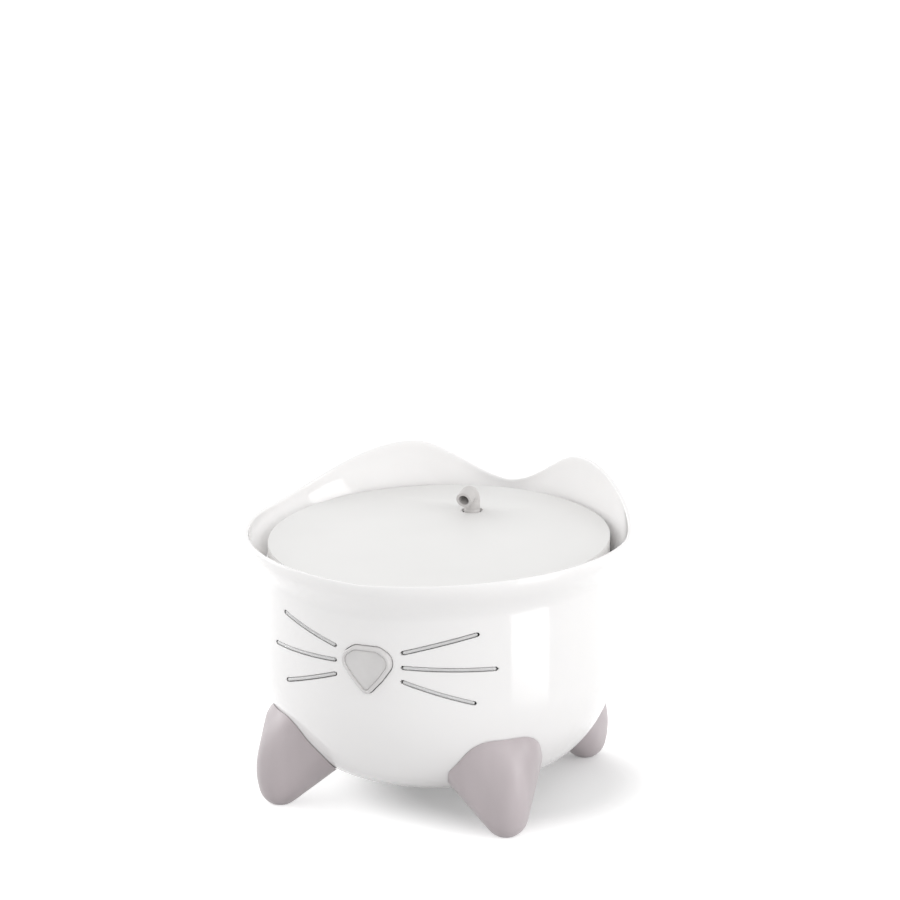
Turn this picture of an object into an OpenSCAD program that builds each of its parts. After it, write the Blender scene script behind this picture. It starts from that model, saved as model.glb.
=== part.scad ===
// Pet water fountain: a drinking bowl with two ears, standing on four feet.
// A submersible pump lifts the water through a riser tube and a nozzle to a spout,
// from which it runs over a sloping cover, through a filter in a tray and back into the bowl.
// Origin: on the floor, under the middle of the bowl. The nose faces -Y, +Z is up. Millimetres.

/* [Bowl] */
// Radius of the straight side of the bowl
bowl_r = 105; // [100:1:112]
// Thickness of the bowl's wall
bowl_wall = 2.5; // [2:0.1:3.5]
// Height of the flat underside above the floor
bowl_bottom_z = 15; // [12:1:19]
// Radius of the flat underside
bowl_flat_r = 48; // [42:1:54]
// Height at which the side becomes straight
bowl_side_z = 80; // [76:1:88]
// Height of the rim at the front
rim_front_z = 152; // [148:1:160]
// How much higher the plain rim stands at the back
rim_rise = 8.5; // [6:0.5:11]
// How far the rim stands out from the side
rim_flare = 10; // [7:0.5:12]
// How far below the rim the flare starts
flare_drop = 24; // [18:1:28]

/* [Ears] */
// Height of an ear above the plain rim
ear_h = 25.5; // [15:0.5:32]
// Angle from the nose to the tip of an ear
ear_angle = 148; // [142:1:150]
// Angle over which an ear rises on the side of the nose
ear_spread_front = 54; // [44:1:60]
// Angle over which an ear falls towards the back
ear_spread_back = 34; // [30:1:38]
// Share of the flare that is missing at the tip of an ear
ear_tuck = 0.75; // [0.4:0.05:0.9]

/* [Inside of the bowl] */
// Height of the supports that carry the tray
support_z = 134; // [128:1:138]
// Width of the flat-faced chamber on the back wall
chamber_w = 91; // [70:1:100]
// Radius of the upper corners of that chamber
chamber_corner_r = 8; // [3:1:12]
// Angle from the back to each of the two ribs
rib_angle = 63; // [55:1:75]
// Thickness of a rib
rib_t = 4; // [3:0.5:6]
// How far a rib stands in from the wall
rib_depth = 8; // [6:0.5:12]
// Height at which a rib ends at the bottom
rib_bottom_z = 62; // [50:1:80]

/* [Face] */
// Height of the middle of the nose
nose_z = 100; // [92:1:106]
// Width of the nose
nose_w = 31; // [26:1:36]
// Height of the nose
nose_h = 28.5; // [24:0.5:32]
// How far the nose stands out from the side
nose_proud = 3; // [1.5:0.5:5]
// Width of the bevel round the nose
nose_bevel = 1.6; // [0.8:0.2:2.4]
// Width of a whisker
whisker_w = 2.7; // [2:0.1:4]
// How far the whiskers stand out from the side
whisker_proud = 0.4; // [0.2:0.1:1]
// Angle from the nose to the inner end of each whisker
whisker_inner_angle = 11.4; // [10.8:0.2:13]
// Gap round the nose and the whiskers in their openings
face_gap = 0.1; // [0.05:0.05:0.3]

/* [Feet] */
// Angle from the nose to a front foot
front_foot_angle = 45; // [42:1:48]
// Angle from the nose to a back foot
back_foot_angle = 140; // [134:1:144]
// Height of a foot's form, whose top runs into the side of the bowl
foot_h = 62; // [58:0.5:64]
// Width of a foot
foot_w = 59.5; // [54:0.5:62]
// Distance from the axis to the middle of a foot's tread
foot_tread_r = 101; // [97:0.5:103]
// Radius of a foot's toe
toe_r = 12.5; // [10:0.5:14]
// Radius of the flat under a foot
foot_tread = 5; // [3:0.5:6]

/* [Pump] */
// Distance from the axis of the bowl back to the water outlet
outlet_y = 52; // [50:0.5:54]
// Angle by which the pump is turned in the bowl
pump_turn = 45; // [38:1:52]
// Height of the seat for the pump above the floor
pump_seat_z = 24; // [22:1:26]
// Length of the pump
pump_l = 50; // [48:0.5:54]
// Width of the pump
pump_w = 31; // [29:0.5:33]
// Height of the pump
pump_h = 31; // [29:0.5:33]
// Distance from the intake end to the axis of the outlet
outlet_from_end = 13.2; // [12:0.2:15]
// Radius of the pump's upright corners
pump_corner_r = 3.5; // [2:0.5:5]
// Radius along the pump's upper edges
pump_edge_r = 3.5; // [2:0.5:5]
// Height of the outlet above the pump
outlet_h = 18.6; // [17.5:0.2:20]
// Outer radius of the outlet inside the riser tube
outlet_r = 4.9; // [4.5:0.1:5.2]
// Bore radius of the outlet
outlet_bore_r = 3.3; // [2.5:0.1:3.6]
// Length of the outlet inside the riser tube
outlet_grip = 12; // [9:0.5:14]

/* [Pump works] */
// Radius of the pump chamber
chamber_r = 12.2; // [11.5:0.1:12.6]
// Thickness of the intake cover
intake_t = 4; // [3:0.2:4.6]
// Radius of the impeller blades
blade_r = 10.8; // [9.5:0.1:11.2]
// Number of impeller blades
blade_count = 6; // [4:1:8]
// Radius of the rotor magnet
rotor_r = 6.2; // [5.5:0.1:6.4]
// Length of the rotor magnet
rotor_l = 17; // [14:0.5:17.5]
// Radius of the impeller shaft
shaft_r = 1.15; // [0.9:0.05:1.4]
// Radius of the speed knob
knob_r = 4.7; // [4:0.1:5.2]
// Length of the speed knob
knob_l = 9; // [6:0.5:11]
// Radius of the lamp lens
lamp_r = 2.4; // [1.8:0.1:3]
// Diameter of the lead
lead_d = 1.8; // [1.5:0.1:2]

/* [Riser tube] */
// Length of the riser tube
tube_l = 42; // [40:0.5:44]
// Wall thickness of the riser tube
tube_wall = 1.5; // [1.2:0.1:2]

/* [Tray] */
// Gap between the tray and the side of the bowl
tray_gap = 0.5; // [0.4:0.1:1.5]
// Thickness of the tray's walls
tray_wall = 2; // [1.6:0.1:2.4]
// Height of the tray's outer edge
tray_edge_h = 6.5; // [5:0.5:8]
// Radius of the dish in the tray
dish_r = 86; // [80:1:88]
// Distance from the axis back to the edge of the dish
dish_back_y = 35; // [32:0.5:35]
// Depth of the dish
dish_depth = 10.5; // [8:0.5:12]
// Radius of the flat bottom of the dish
dish_floor_r = 50; // [46:1:60]
// Width of the tray's rim in front of the dish
tray_rim_w = 5; // [4:0.5:7]
// Depth of the filter pocket's floor below the tray's top
pocket_depth = 21.5; // [20:0.5:23]
// Height of the ledge that carries the filter
ledge_h = 2; // [1:0.5:3]
// Width of that ledge
ledge_w = 7; // [5:0.5:8]
// Radius of the finger recess behind the filter
finger_r = 11; // [9:0.5:12]
// Angle from the back to each of the two holes in the tray
hole_angle = 61; // [57:1:64]
// Distance from the axis to those holes
hole_place_r = 73; // [72:1:77]
// Radius of those holes
hole_r = 10.5; // [8:0.5:11]

/* [Nozzle] */
// Radius of the nozzle's cap
cap_r = 17.5; // [15:0.5:17.5]
// Height of the neck under the cap
neck_h = 5; // [4:0.5:5.5]
// Width of the recess in the front of the neck
neck_recess_w = 22; // [16:1:26]
// Distance from the nozzle's axis forward to that recess
neck_recess_y = 11; // [9:0.5:13]
// Height of the cap
cap_h = 6; // [5:0.5:6.5]
// Width of the bevel round the cap
cap_bevel = 1.6; // [0.8:0.2:2.4]
// Radius of the boss on the cap
boss_r = 7.5; // [6.8:0.1:9]
// Thickness of the seal under the spout
seal_t = 1.2; // [0.8:0.1:1.6]
// Distance from the tray's top down to the end of the nozzle's pipe
pipe_drop = 43; // [41:0.5:46]
// Outer radius of that pipe above the riser tube
pipe_r = 6.5; // [6:0.1:7.5]

/* [Tray handle] */
// Width of the handle
handle_span = 25.5; // [20:0.5:27]
// Height of the handle above the tray's top
handle_h = 14; // [12:0.5:14]
// Thickness of the handle's band
handle_band = 2.6; // [2:0.2:3.2]
// Width of the handle's band
handle_w = 4; // [3:0.5:5]
// Distance from the axis to the right of the middle of the handle
handle_x = 11.5; // [0:0.5:15]
// Distance from the bowl's side in to the middle of the handle
handle_inset = 21; // [18:0.5:25]

/* [Filter] */
// Length of a side of the filter
filter_side = 88; // [84:1:89]
// Radius of the filter's corners
filter_corner_r = 12; // [8:1:16]
// Distance from the axis forward to the middle of the filter
filter_forward = 33; // [31:0.5:36]
// Gap between the filter and its pocket
filter_gap = 1; // [0.5:0.1:1.5]
// Thickness of the filter's fleece
fleece_t = 1.5; // [1:0.1:2]
// Radius of the hole in the middle of the filter
filter_hole_r = 8.5; // [7:0.5:10]
// Height of a pad of granules
pad_h = 8.5; // [7:0.5:9]
// Width of the lanes between the pads
pad_lane = 5; // [3:0.5:7]
// Width of the fleece's border round the pads
pad_border = 3.5; // [2.5:0.5:4]
// Radius of the corners of a pad
pad_corner_r = 10; // [7:0.5:12]

/* [Cover] */
// How far the cover's edge lies inside the tray's edge
cover_inset = 1; // [0.5:0.1:2]
// Height of the cover's skirt at its middle
cover_h = 11.9; // [11.5:0.1:13]
// Rise of the cover's top, per millimetre from front to back
cover_slope = 0.06; // [0.03:0.005:0.065]
// Thickness of the cover
cover_t = 2; // [1.6:0.1:2.4]
// Half of the angle over which the skirt is open at the front
cover_open_angle = 24.5; // [18:0.5:32]
// Radius of the hole for the spout
cover_hole_r = 6.5; // [5.8:0.1:6.8]

/* [Spout] */
// Radius of the spout
spout_r = 4.8; // [4.2:0.1:5]
// Bore radius of the spout
spout_bore_r = 3.2; // [2.4:0.1:3.4]
// Height of the whole spout
spout_h = 25; // [22:0.5:28]
// Distance from the axis to the spout's mouth
spout_reach = 12; // [9:0.5:14]
// Height of the collar below the elbow
collar_h = 10; // [9:0.5:11]
// Angle by which the mouth points below level
mouth_dip = 18; // [0:1:35]

/* [Clearances] */
// Radial clearance of parts that turn or slide in each other
running_gap = 0.1; // [0.05:0.01:0.1]
// Radial clearance of pieces that are fixed in each other
fixed_gap = 0.02; // [0.01:0.01:0.05]
// Gap left above and below parts that turn
end_gap = 0.3; // [0.2:0.05:0.5]
// Gap between curved faces that lie along each other
seat_gap = 0.15; // [0.1:0.05:0.3]

/* [Hidden] */
$fn = 72;
eps = 0.01;

// Bowl
bowl_columns = 90;
arc_steps = 7;
flare_steps = 5;
cap_angles = [45, 90, 135];
inner_r = bowl_r - bowl_wall;
plinth_border = 1.5;

// Heights of the stack
pump_top_z = pump_seat_z + pump_h;
outlet_top_z = pump_top_z + outlet_h;
tube_z = outlet_top_z - outlet_grip;
tube_r = outlet_r + running_gap;
tube_outer_r = tube_r + tube_wall;
tube_top_z = tube_z + tube_l;
tray_r = inner_r - tray_gap;
deck_z = support_z + tray_edge_h;
pipe_end_z = deck_z - pipe_drop;
pocket_floor_z = deck_z - pocket_depth;
filter_z = pocket_floor_z + ledge_h;
filter_top_z = filter_z + pad_h + fleece_t;
filter_y = -filter_forward;
pocket_half = filter_side / 2 + filter_gap;
pocket_corner_r = filter_corner_r + filter_gap;
basket_top_z = deck_z - dish_depth - tray_wall;
dish_y = dish_back_y - dish_r;
cover_r = tray_r - cover_inset;
cover_z = deck_z + cover_h;
cover_tilt = atan(cover_slope);
boss_top_z = cover_z + cover_slope * (outlet_y - boss_r) - cover_t / cos(cover_tilt) - end_gap;
cap_z = deck_z + neck_h;
cap_top_z = cap_z + cap_h;
spout_z = cap_z + seal_t;
elbow_z = spout_z + collar_h;
seal_r = outlet_bore_r + 3.5;
neck_r = cap_r - 0.7;

// Pump
pump_back_x = outlet_from_end;
pump_front_x = outlet_from_end - pump_l;
shaft_z = pump_h / 2;
chamber_back_x = -6;
rotor_front_x = -5;
rotor_back_x = rotor_front_x - rotor_l;
well_back_x = rotor_back_x - 1.5;
stator_front_x = chamber_back_x - 2;
stator_back_x = rotor_back_x + 1;
shaft_hold = 2;
knob_place = [-4.7, 18];
lamp_place = [5, 5.6];
gland_places = [[12, 23], [11, 13]];
gland_r = lead_d / 2 + 1;
gland_l = 2.5;
bezel_r = lamp_r + 1.8;
bezel_h = 1.5;
stem_r = knob_r - 2;
stem_l = 3;
winding_r = rotor_r + 1.8;
winding_t = 4.8;
shoulder_r = outlet_r + 0.5;

// Spout
groove_z = spout_z + 2.5;
groove_h = 1.4;
groove_r = spout_r - 0.7;
spigot_r = spout_bore_r + 0.8;
spigot_l = 4;

// Route of the lead, from the upper gland out and back into the lower one, in the pump's own frame
lead_route = [
  [-36.8, 12, 23], [-39.3, 12, 23], [-41.5, 12, 23.1], [-44, 11.9, 23.1], [-46.5, 11.8, 22.9],
  [-49, 11.6, 22.4], [-51.3, 11.5, 21.6], [-53.2, 11.4, 20.5], [-54.2, 11.3, 19.2], [-54, 11.2, 17.9],
  [-52.6, 11.1, 16.8], [-50.4, 11, 15.9], [-47.8, 11, 15], [-45.2, 11, 14.2], [-42.6, 11, 13.5],
  [-40.6, 11, 13.1], [-39.3, 11, 13], [-36.8, 11, 13]
];
lead_sides = 8;

// ---------- shared shapes ----------

// Rounded square, made of true arcs
module rounded_rect(w, h, r) {
  square([w - 2 * r, h], center = true);
  square([w, h - 2 * r], center = true);
  for (x = [-1, 1], y = [-1, 1])
    translate([x * (w / 2 - r), y * (h / 2 - r)]) circle(r);
}

// Bar with round ends from one point to the other
module bar(from, to, w) {
  d = to - from;
  translate(from) rotate(atan2(d[1], d[0])) {
    translate([0, -w / 2]) square([norm(d), w]);
    circle(d = w, $fn = 24);
    translate([norm(d), 0]) circle(d = w, $fn = 24);
  }
}

// Stands a flat shape upright, so that its y becomes height, and runs it from one depth to the other
module upright(y_from, y_to) {
  translate([0, y_to, 0]) rotate([90, 0, 0]) linear_extrude(y_to - y_from) children();
}

module ring(r_out, r_in, h) {
  difference() {
    cylinder(h = h, r = r_out);
    translate([0, 0, -1]) cylinder(h = h + 2, r = r_in);
  }
}

// Tube of round section swept along a list of points
function direction(p, i) =
  let (a = p[max(i - 1, 0)], b = p[min(i + 1, len(p) - 1)]) (b - a) / norm(b - a);
function side_of(v) = let (s = cross(v, [0, 1, 0])) s / norm(s);
module swept_tube(p, d, sides) {
  n = len(p);
  points = [
    for (i = [0 : n - 1], j = [0 : sides - 1])
      let (v = direction(p, i), s = side_of(v), u = cross(s, v), a = 360 * j / sides)
        p[i] + d / 2 * (cos(a) * s + sin(a) * u)
  ];
  ends = [[for (j = [0 : sides - 1]) j], [for (j = [sides - 1 : -1 : 0]) (n - 1) * sides + j]];
  walls = [
    for (i = [0 : n - 2], j = [0 : sides - 1])
      let (k = (j + 1) % sides) [i * sides + k, i * sides + j, (i + 1) * sides + j, (i + 1) * sides + k]
  ];
  polyhedron(points, concat(ends, walls));
}

// ---------- bowl ----------

// Point on the curve between the underside and the straight side, a given distance inside the surface
function arc_point(i, inset) =
  let (a = 90 * i / arc_steps) [
    bowl_flat_r + (bowl_r - inset - bowl_flat_r) * sin(a),
    bowl_side_z - (bowl_side_z - bowl_bottom_z - inset) * cos(a)
  ];

// Share of an ear's height at an angle from the nose
function fall(d, spread) = d >= spread ? 0 : pow(cos(90 * d / spread), 2);
function ear(a) =
  a < ear_angle ? fall(ear_angle - a, ear_spread_front) : fall(a - ear_angle, ear_spread_back);
function ears(t) = let (a = abs(t)) ear(a) + ear(360 - a);
function plain_rim_z(t) = rim_front_z + rim_rise * sin(abs(t) / 2);
function rim_z(t) = plain_rim_z(t) + ear_h * ears(t);
function flare(t) = rim_flare * (1 - ear_tuck * ears(t));
function ease(u) = (1 - cos(180 * u)) / 2;

// Section of the wall at an angle from the nose, as [radius, height], from the underside over the rim
function wall_section(t) =
  let (
    start = plain_rim_z(t) - flare_drop,
    rise = rim_z(t) - bowl_wall / 2 - start,
    cap_r = bowl_r + flare(t) - bowl_wall / 2,
    flare_row = function (j, inset) [
      bowl_r - inset + flare(t) * ease(j / flare_steps), start + rise * j / flare_steps
    ]
  )
  concat(
    [for (i = [0 : arc_steps]) arc_point(i, 0)],
    [for (j = [0 : flare_steps]) flare_row(j, 0)],
    [for (a = cap_angles) [cap_r + bowl_wall / 2 * cos(a), start + rise + bowl_wall / 2 * sin(a)]],
    [for (j = [flare_steps : -1 : 0]) flare_row(j, bowl_wall)],
    [for (i = [arc_steps : -1 : 0]) arc_point(i, bowl_wall)]
  );

module bowl_wall_form() {
  n = bowl_columns;
  sections = [for (c = [0 : n - 1]) wall_section(360 * c / n - 180)];
  rows = len(sections[0]);
  points = [
    for (k = [0 : rows - 1], c = [0 : n - 1])
      let (t = 360 * c / n - 180, p = sections[c][k]) [p[0] * sin(t), -p[0] * cos(t), p[1]]
  ];
  ends = [[for (c = [0 : n - 1]) c], [for (c = [n - 1 : -1 : 0]) (rows - 1) * n + c]];
  walls = [
    for (k = [0 : rows - 2], c = [0 : n - 1])
      let (d = (c + 1) % n) [k * n + d, k * n + c, (k + 1) * n + c, (k + 1) * n + d]
  ];
  polyhedron(points, concat(ends, walls));
}

// Solid of the bowl's lower part, a given distance inside its surface, up to a height
module bowl_inside(inset, top) {
  arc = [for (i = [0 : arc_steps]) arc_point(i, inset)];
  rotate_extrude() polygon(concat([[0, bowl_bottom_z + inset]], arc, [[bowl_r - inset, top], [0, top]]));
}

module chamber() {
  face_y = sqrt(inner_r * inner_r - chamber_w * chamber_w / 4);
  r = chamber_corner_r;
  upright(face_y, bowl_r) {
    translate([-chamber_w / 2, 0]) square([chamber_w, support_z - r]);
    translate([-chamber_w / 2 + r, 0]) square([chamber_w - 2 * r, support_z]);
    for (s = [-1, 1]) translate([s * (chamber_w / 2 - r), support_z - r]) circle(r);
  }
}

module rib(side) {
  rotate(180 + side * rib_angle)
    translate([-rib_t / 2, -bowl_r, rib_bottom_z])
      cube([rib_t, bowl_r - inner_r + rib_depth, support_z - rib_bottom_z]);
}

module pump_plinth() {
  border = plinth_border;
  translate([0, outlet_y, 0]) rotate(pump_turn)
    translate([(pump_front_x + pump_back_x) / 2, 0, 0])
      linear_extrude(pump_seat_z)
        rounded_rect(pump_l + 2 * border, pump_w + 2 * border, pump_corner_r + border);
}

// ---------- face ----------

module nose_outline(grow) {
  brow_r = 0.4 * nose_w;
  temple_r = 0.27 * nose_w;
  side_r = 0.255 * nose_w;
  tip_r = 0.15 * nose_w;
  top = nose_z + nose_h / 2;
  hull() {
    for (s = [-1, 1]) {
      translate([0.168 * s * nose_w, top - temple_r]) circle(temple_r + grow, $fn = 32);
      translate([s * (nose_w / 2 - side_r), top - 0.33 * nose_h]) circle(side_r + grow, $fn = 32);
    }
    translate([0, top - brow_r]) circle(brow_r + grow, $fn = 48);
    translate([0, top - nose_h + tip_r]) circle(tip_r + grow, $fn = 32);
  }
}

// Ends of a whisker, as [angle from the nose, height above the middle of the nose]
whisker_ends = [
  [[whisker_inner_angle, 11.3], [34.5, 22.2]],
  [[whisker_inner_angle, 2.7], [40.5, 1.2]],
  [[whisker_inner_angle, -5.6], [33.6, -18.2]]
];
function on_front(e) = [bowl_r * sin(e[0]), nose_z + e[1]];

module whisker_outlines(side, grow) {
  mirror([side < 0 ? 1 : 0, 0])
    for (e = whisker_ends) bar(on_front(e[0]), on_front(e[1]), whisker_w + 2 * grow);
}

module bowl_shell() {
  color("white")
    difference() {
      union() {
        bowl_wall_form();
        intersection() {
          bowl_inside(bowl_wall / 2, support_z + eps);
          union() {
            chamber();
            for (side = [-1, 1]) rib(side);
            pump_plinth();
          }
        }
      }
      upright(-bowl_r - rim_flare, -bowl_r / 2) {
        nose_outline(0);
        for (side = [-1, 1]) whisker_outlines(side, 0);
      }
    }
}

module nose_lens() {
  front_y = -bowl_r - nose_proud;
  color("silver")
    difference() {
      union() {
        upright(front_y + nose_bevel, -bowl_r + bowl_wall) nose_outline(-face_gap);
        for (i = [0, 1]) {
          step = nose_bevel * (i + 1) / 2;
          upright(front_y + nose_bevel - step, front_y + nose_bevel)
            nose_outline(-face_gap - step * step / nose_bevel);
        }
      }
      upright(front_y - 1, front_y + nose_bevel / 2) nose_outline(-face_gap - 2 * nose_bevel - 1);
    }
}

module whiskers(side) {
  color("gainsboro")
    intersection() {
      upright(-bowl_r - 2, -bowl_r / 2) whisker_outlines(side, -face_gap);
      translate([0, 0, nose_z - nose_h]) ring(bowl_r + whisker_proud, inner_r, 2 * nose_h);
    }
}
module whiskers_left() { whiskers(-1); }
module whiskers_right() { whiskers(1); }

// ---------- feet ----------

// Ball of a foot, given as [across, forward, up, radius]
module ball(b) {
  translate([b[0], -b[1], b[2]]) sphere(b[3], $fn = 30);
}

// Ball on the curve that leaves one ball towards a second and arrives at a third
function between(a, b, c, u) = pow(1 - u, 2) * a + 2 * u * (1 - u) * b + u * u * c;

// Form that swells from the toe up to the side of the bowl, facing the nose. Its balls are placed
// by shares of the bowl's radius and of the foot's own sizes.
module foot_form() {
  toe = [0, foot_tread_r, sqrt(toe_r * toe_r - foot_tread * foot_tread), toe_r];
  edge = [0.19 * foot_w, 0.91 * bowl_r, 0.25 * foot_h, 0.094 * foot_w];
  side = [0.32 * foot_w, 0.783 * bowl_r, 0.62 * foot_h, 0.18 * foot_w];
  shin = [0, bowl_r, 0.44 * foot_h, 0.222 * foot_w];
  top_r = 0.286 * foot_w;
  top = [0, 0.85 * bowl_r, foot_h - top_r, top_r];
  crown = top + [0.13 * foot_w, 0, 0, 0];
  inner = [0.25 * foot_w, 0.742 * bowl_r, 0.56 * foot_h, 0.222 * foot_w];
  hull() {
    for (s = [-1, 1], b = [crown, inner, for (u = [0 : 0.25 : 1]) between(toe, edge, side, u)])
      ball([s * b[0], b[1], b[2], b[3]]);
    for (i = [1, 2]) ball(between(toe, shin, top, i / 3));
  }
}

module foot(angle) {
  color("rosybrown")
    difference() {
      rotate(angle) foot_form();
      translate([-bowl_r, -bowl_r, -toe_r]) cube([2 * bowl_r, 2 * bowl_r, toe_r]);
      translate([0, 0, -seat_gap]) bowl_inside(-seat_gap, 1.3 * foot_h);
    }
}
module foot_front_left() { foot(-front_foot_angle); }
module foot_front_right() { foot(front_foot_angle); }
module foot_back_left() { foot(-back_foot_angle); }
module foot_back_right() { foot(back_foot_angle); }

// ---------- pump ----------

module in_pump() {
  translate([0, outlet_y, pump_seat_z]) rotate(pump_turn) children();
}

// Lies a cylinder along the pump, from one distance to the other
module along(x_from, x_to, r, y = 0, z = shaft_z) {
  translate([x_from, y, z]) rotate([0, 90, 0]) cylinder(h = x_to - x_from, r = r);
}

module pump_form() {
  mid_x = (pump_front_x + pump_back_x) / 2;
  e = pump_edge_r;
  intersection() {
    translate([mid_x, 0, 0]) linear_extrude(pump_h) rounded_rect(pump_l, pump_w, pump_corner_r);
    translate([mid_x, 0, 0]) upright(-pump_w, pump_w) {
      translate([-pump_l / 2, 0]) square([pump_l, pump_h - e]);
      translate([0, pump_h / 2]) rounded_rect(pump_l, pump_h, e);
    }
    translate([pump_front_x - 1, 0, 0]) rotate([90, 0, 90]) linear_extrude(pump_l + 2) {
      translate([-pump_w / 2, 0]) square([pump_w, pump_h - e]);
      translate([0, pump_h / 2]) rounded_rect(pump_w, pump_h, e);
    }
  }
}

module pump_housing() {
  outlet_z = pump_h + outlet_h;
  shoulder_z = outlet_z - outlet_grip;
  tip_r = outlet_r - 0.7;
  tip_h = 0.7;
  cover_x = pump_back_x - intake_t;
  knob_y = knob_place[0];
  lamp_y = lamp_place[0];
  color("white") in_pump()
    difference() {
      union() {
        difference() {
          pump_form();
          translate([cover_x, -pump_w, -1]) cube([intake_t + 1, 2 * pump_w, pump_h + 2]);
        }
        translate([0, 0, pump_h - 1]) cylinder(h = shoulder_z - pump_h + 1, r = shoulder_r);
        translate([0, 0, shoulder_z - eps]) cylinder(h = outlet_grip - tip_h + eps, r = outlet_r);
        translate([0, 0, outlet_z - tip_h]) cylinder(h = tip_h, r1 = outlet_r, r2 = tip_r);
        translate([pump_front_x - bezel_h, lamp_y, lamp_place[1]]) rotate([0, 90, 0])
          cylinder(h = bezel_h + eps, r1 = bezel_r - bezel_h, r2 = bezel_r);
      }
      translate([0, 0, shaft_z]) cylinder(h = outlet_z, r = outlet_bore_r);
      along(chamber_back_x, cover_x + 1, chamber_r);
      along(well_back_x, chamber_back_x + 1, rotor_r + end_gap + running_gap);
      along(well_back_x - shaft_hold, well_back_x + 1, shaft_r + fixed_gap);
      motor_stator_form(fixed_gap);
      along(pump_front_x - 1, pump_front_x + stem_l, stem_r + running_gap, knob_y, knob_place[1]);
      along(pump_front_x - bezel_h - 1, pump_front_x + 2, lamp_r + fixed_gap, lamp_y, lamp_place[1]);
      for (g = gland_places) along(pump_front_x - 1, pump_front_x + 2, gland_r + fixed_gap, g[0], g[1]);
    }
}

module intake_cover() {
  cover_x = pump_back_x - intake_t;
  slot_w = 2;
  slot_l = 16;
  slot_pitch = 3.2;
  hub_l = 7;
  color("whitesmoke") in_pump()
    difference() {
      intersection() {
        pump_form();
        translate([cover_x, -pump_w, -1]) cube([intake_t + 1, 2 * pump_w, pump_h + 2]);
      }
      along(cover_x - 1, cover_x + shaft_hold, shaft_r + fixed_gap);
      translate([cover_x - 1, -slot_w / 2, shaft_z - slot_l / 2]) {
        for (i = [-2.5, -1.5, 1.5, 2.5]) translate([0, i * slot_pitch, 0])
          cube([intake_t + 2, slot_w, slot_l]);
        for (z = [0, (slot_l + hub_l) / 2]) translate([0, 0, z])
          cube([intake_t + 2, slot_w, (slot_l - hub_l) / 2]);
      }
    }
}

module impeller() {
  disc_t = 1.6;
  hub_r = 3.5;
  blade_t = 1.2;
  blade_end_x = pump_back_x - intake_t - 1.2;
  color("lightsteelblue") in_pump()
    difference() {
      union() {
        along(rotor_front_x, rotor_front_x + disc_t, blade_r);
        along(rotor_front_x, blade_end_x, hub_r);
        for (i = [0 : blade_count - 1])
          translate([rotor_front_x + disc_t - eps, 0, shaft_z]) rotate([360 * i / blade_count, 0, 0])
            translate([0, -blade_t / 2, hub_r - 1])
              cube([blade_end_x - rotor_front_x - disc_t, blade_t, blade_r - hub_r + 0.9]);
      }
      along(rotor_front_x - 1, blade_end_x + 1, shaft_r + running_gap);
    }
}

module rotor_magnet() {
  color("dimgray") in_pump()
    difference() {
      along(rotor_back_x, rotor_front_x, rotor_r);
      along(rotor_back_x - 1, rotor_front_x + 1, shaft_r + running_gap);
    }
}

module impeller_shaft() {
  color("ivory") in_pump() along(well_back_x - shaft_hold, pump_back_x - intake_t + shaft_hold, shaft_r);
}

module motor_stator_form(grow) {
  difference() {
    along(stator_back_x - grow, stator_front_x + grow, winding_r + winding_t + grow);
    along(stator_back_x - 1, stator_front_x + 1, winding_r - grow);
  }
}

module motor_stator() {
  color("peru") in_pump() motor_stator_form(0);
}

module speed_knob() {
  root_x = pump_front_x - end_gap;
  y = knob_place[0];
  z = knob_place[1];
  color("white") in_pump() {
    along(pump_front_x - knob_l, root_x, knob_r, y, z);
    along(root_x - eps, root_x + stem_l, stem_r, y, z);
  }
}

module lamp_lens() {
  color("red") in_pump() {
    along(pump_front_x - 1.5, pump_front_x + 2, lamp_r, lamp_place[0], lamp_place[1]);
    translate([pump_front_x - 1.5, lamp_place[0], lamp_place[1]]) sphere(lamp_r, $fn = 48);
  }
}

module lead_gland() {
  color("whitesmoke") in_pump()
    for (g = gland_places)
      difference() {
        along(pump_front_x - gland_l, pump_front_x + 2, gland_r, g[0], g[1]);
        along(pump_front_x - gland_l - 1, pump_front_x, lead_d / 2 + 0.1, g[0], g[1]);
      }
}

module pump_lead() {
  shift = pump_front_x - lead_route[0][0];
  color("thistle") in_pump() swept_tube([for (p = lead_route) p + [shift, 0, 0]], lead_d, lead_sides);
}

// ---------- riser tube ----------

module riser_tube() {
  color("mistyrose") translate([0, outlet_y, tube_z]) ring(tube_outer_r, tube_r, tube_l);
}

// ---------- tray ----------

module pocket_outline(grow) {
  side = 2 * (pocket_half + grow);
  translate([0, filter_y]) {
    rounded_rect(side, side, pocket_corner_r + grow);
    translate([0, pocket_half - 1]) circle(finger_r + grow);
  }
}

// Dish with a sloping side, cut off in front along the tray's rim
module dish_form(grow, top) {
  intersection() {
    translate([0, dish_y, deck_z - dish_depth - grow])
      cylinder(h = dish_depth + grow, r1 = dish_floor_r + grow / 2, r2 = dish_r + grow);
    translate([0, 0, deck_z - dish_depth - grow - 1])
      cylinder(h = dish_depth + grow + 2, r = tray_r - tray_rim_w + grow);
  }
  if (top > 0)
    intersection() {
      translate([0, dish_y, deck_z - eps]) cylinder(h = top, r = dish_r + grow);
      translate([0, 0, deck_z - 1]) cylinder(h = top + 2, r = tray_r - tray_rim_w + grow);
    }
}

module hole_places() {
  for (s = [-1, 1]) rotate(180 - s * hole_angle) translate([0, -hole_place_r, 0]) children();
}

module pocket_floor_slots() {
  slot_r = 22;
  slot_w = 15;
  slot_angle = 66;
  for (q = [0 : 3])
    translate([0, filter_y, pocket_floor_z - tray_wall - 1]) rotate(90 * q + (90 - slot_angle) / 2)
      rotate_extrude(angle = slot_angle)
        translate([slot_r - slot_w / 2, 0]) square([slot_w, tray_wall + 2]);
}

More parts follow.
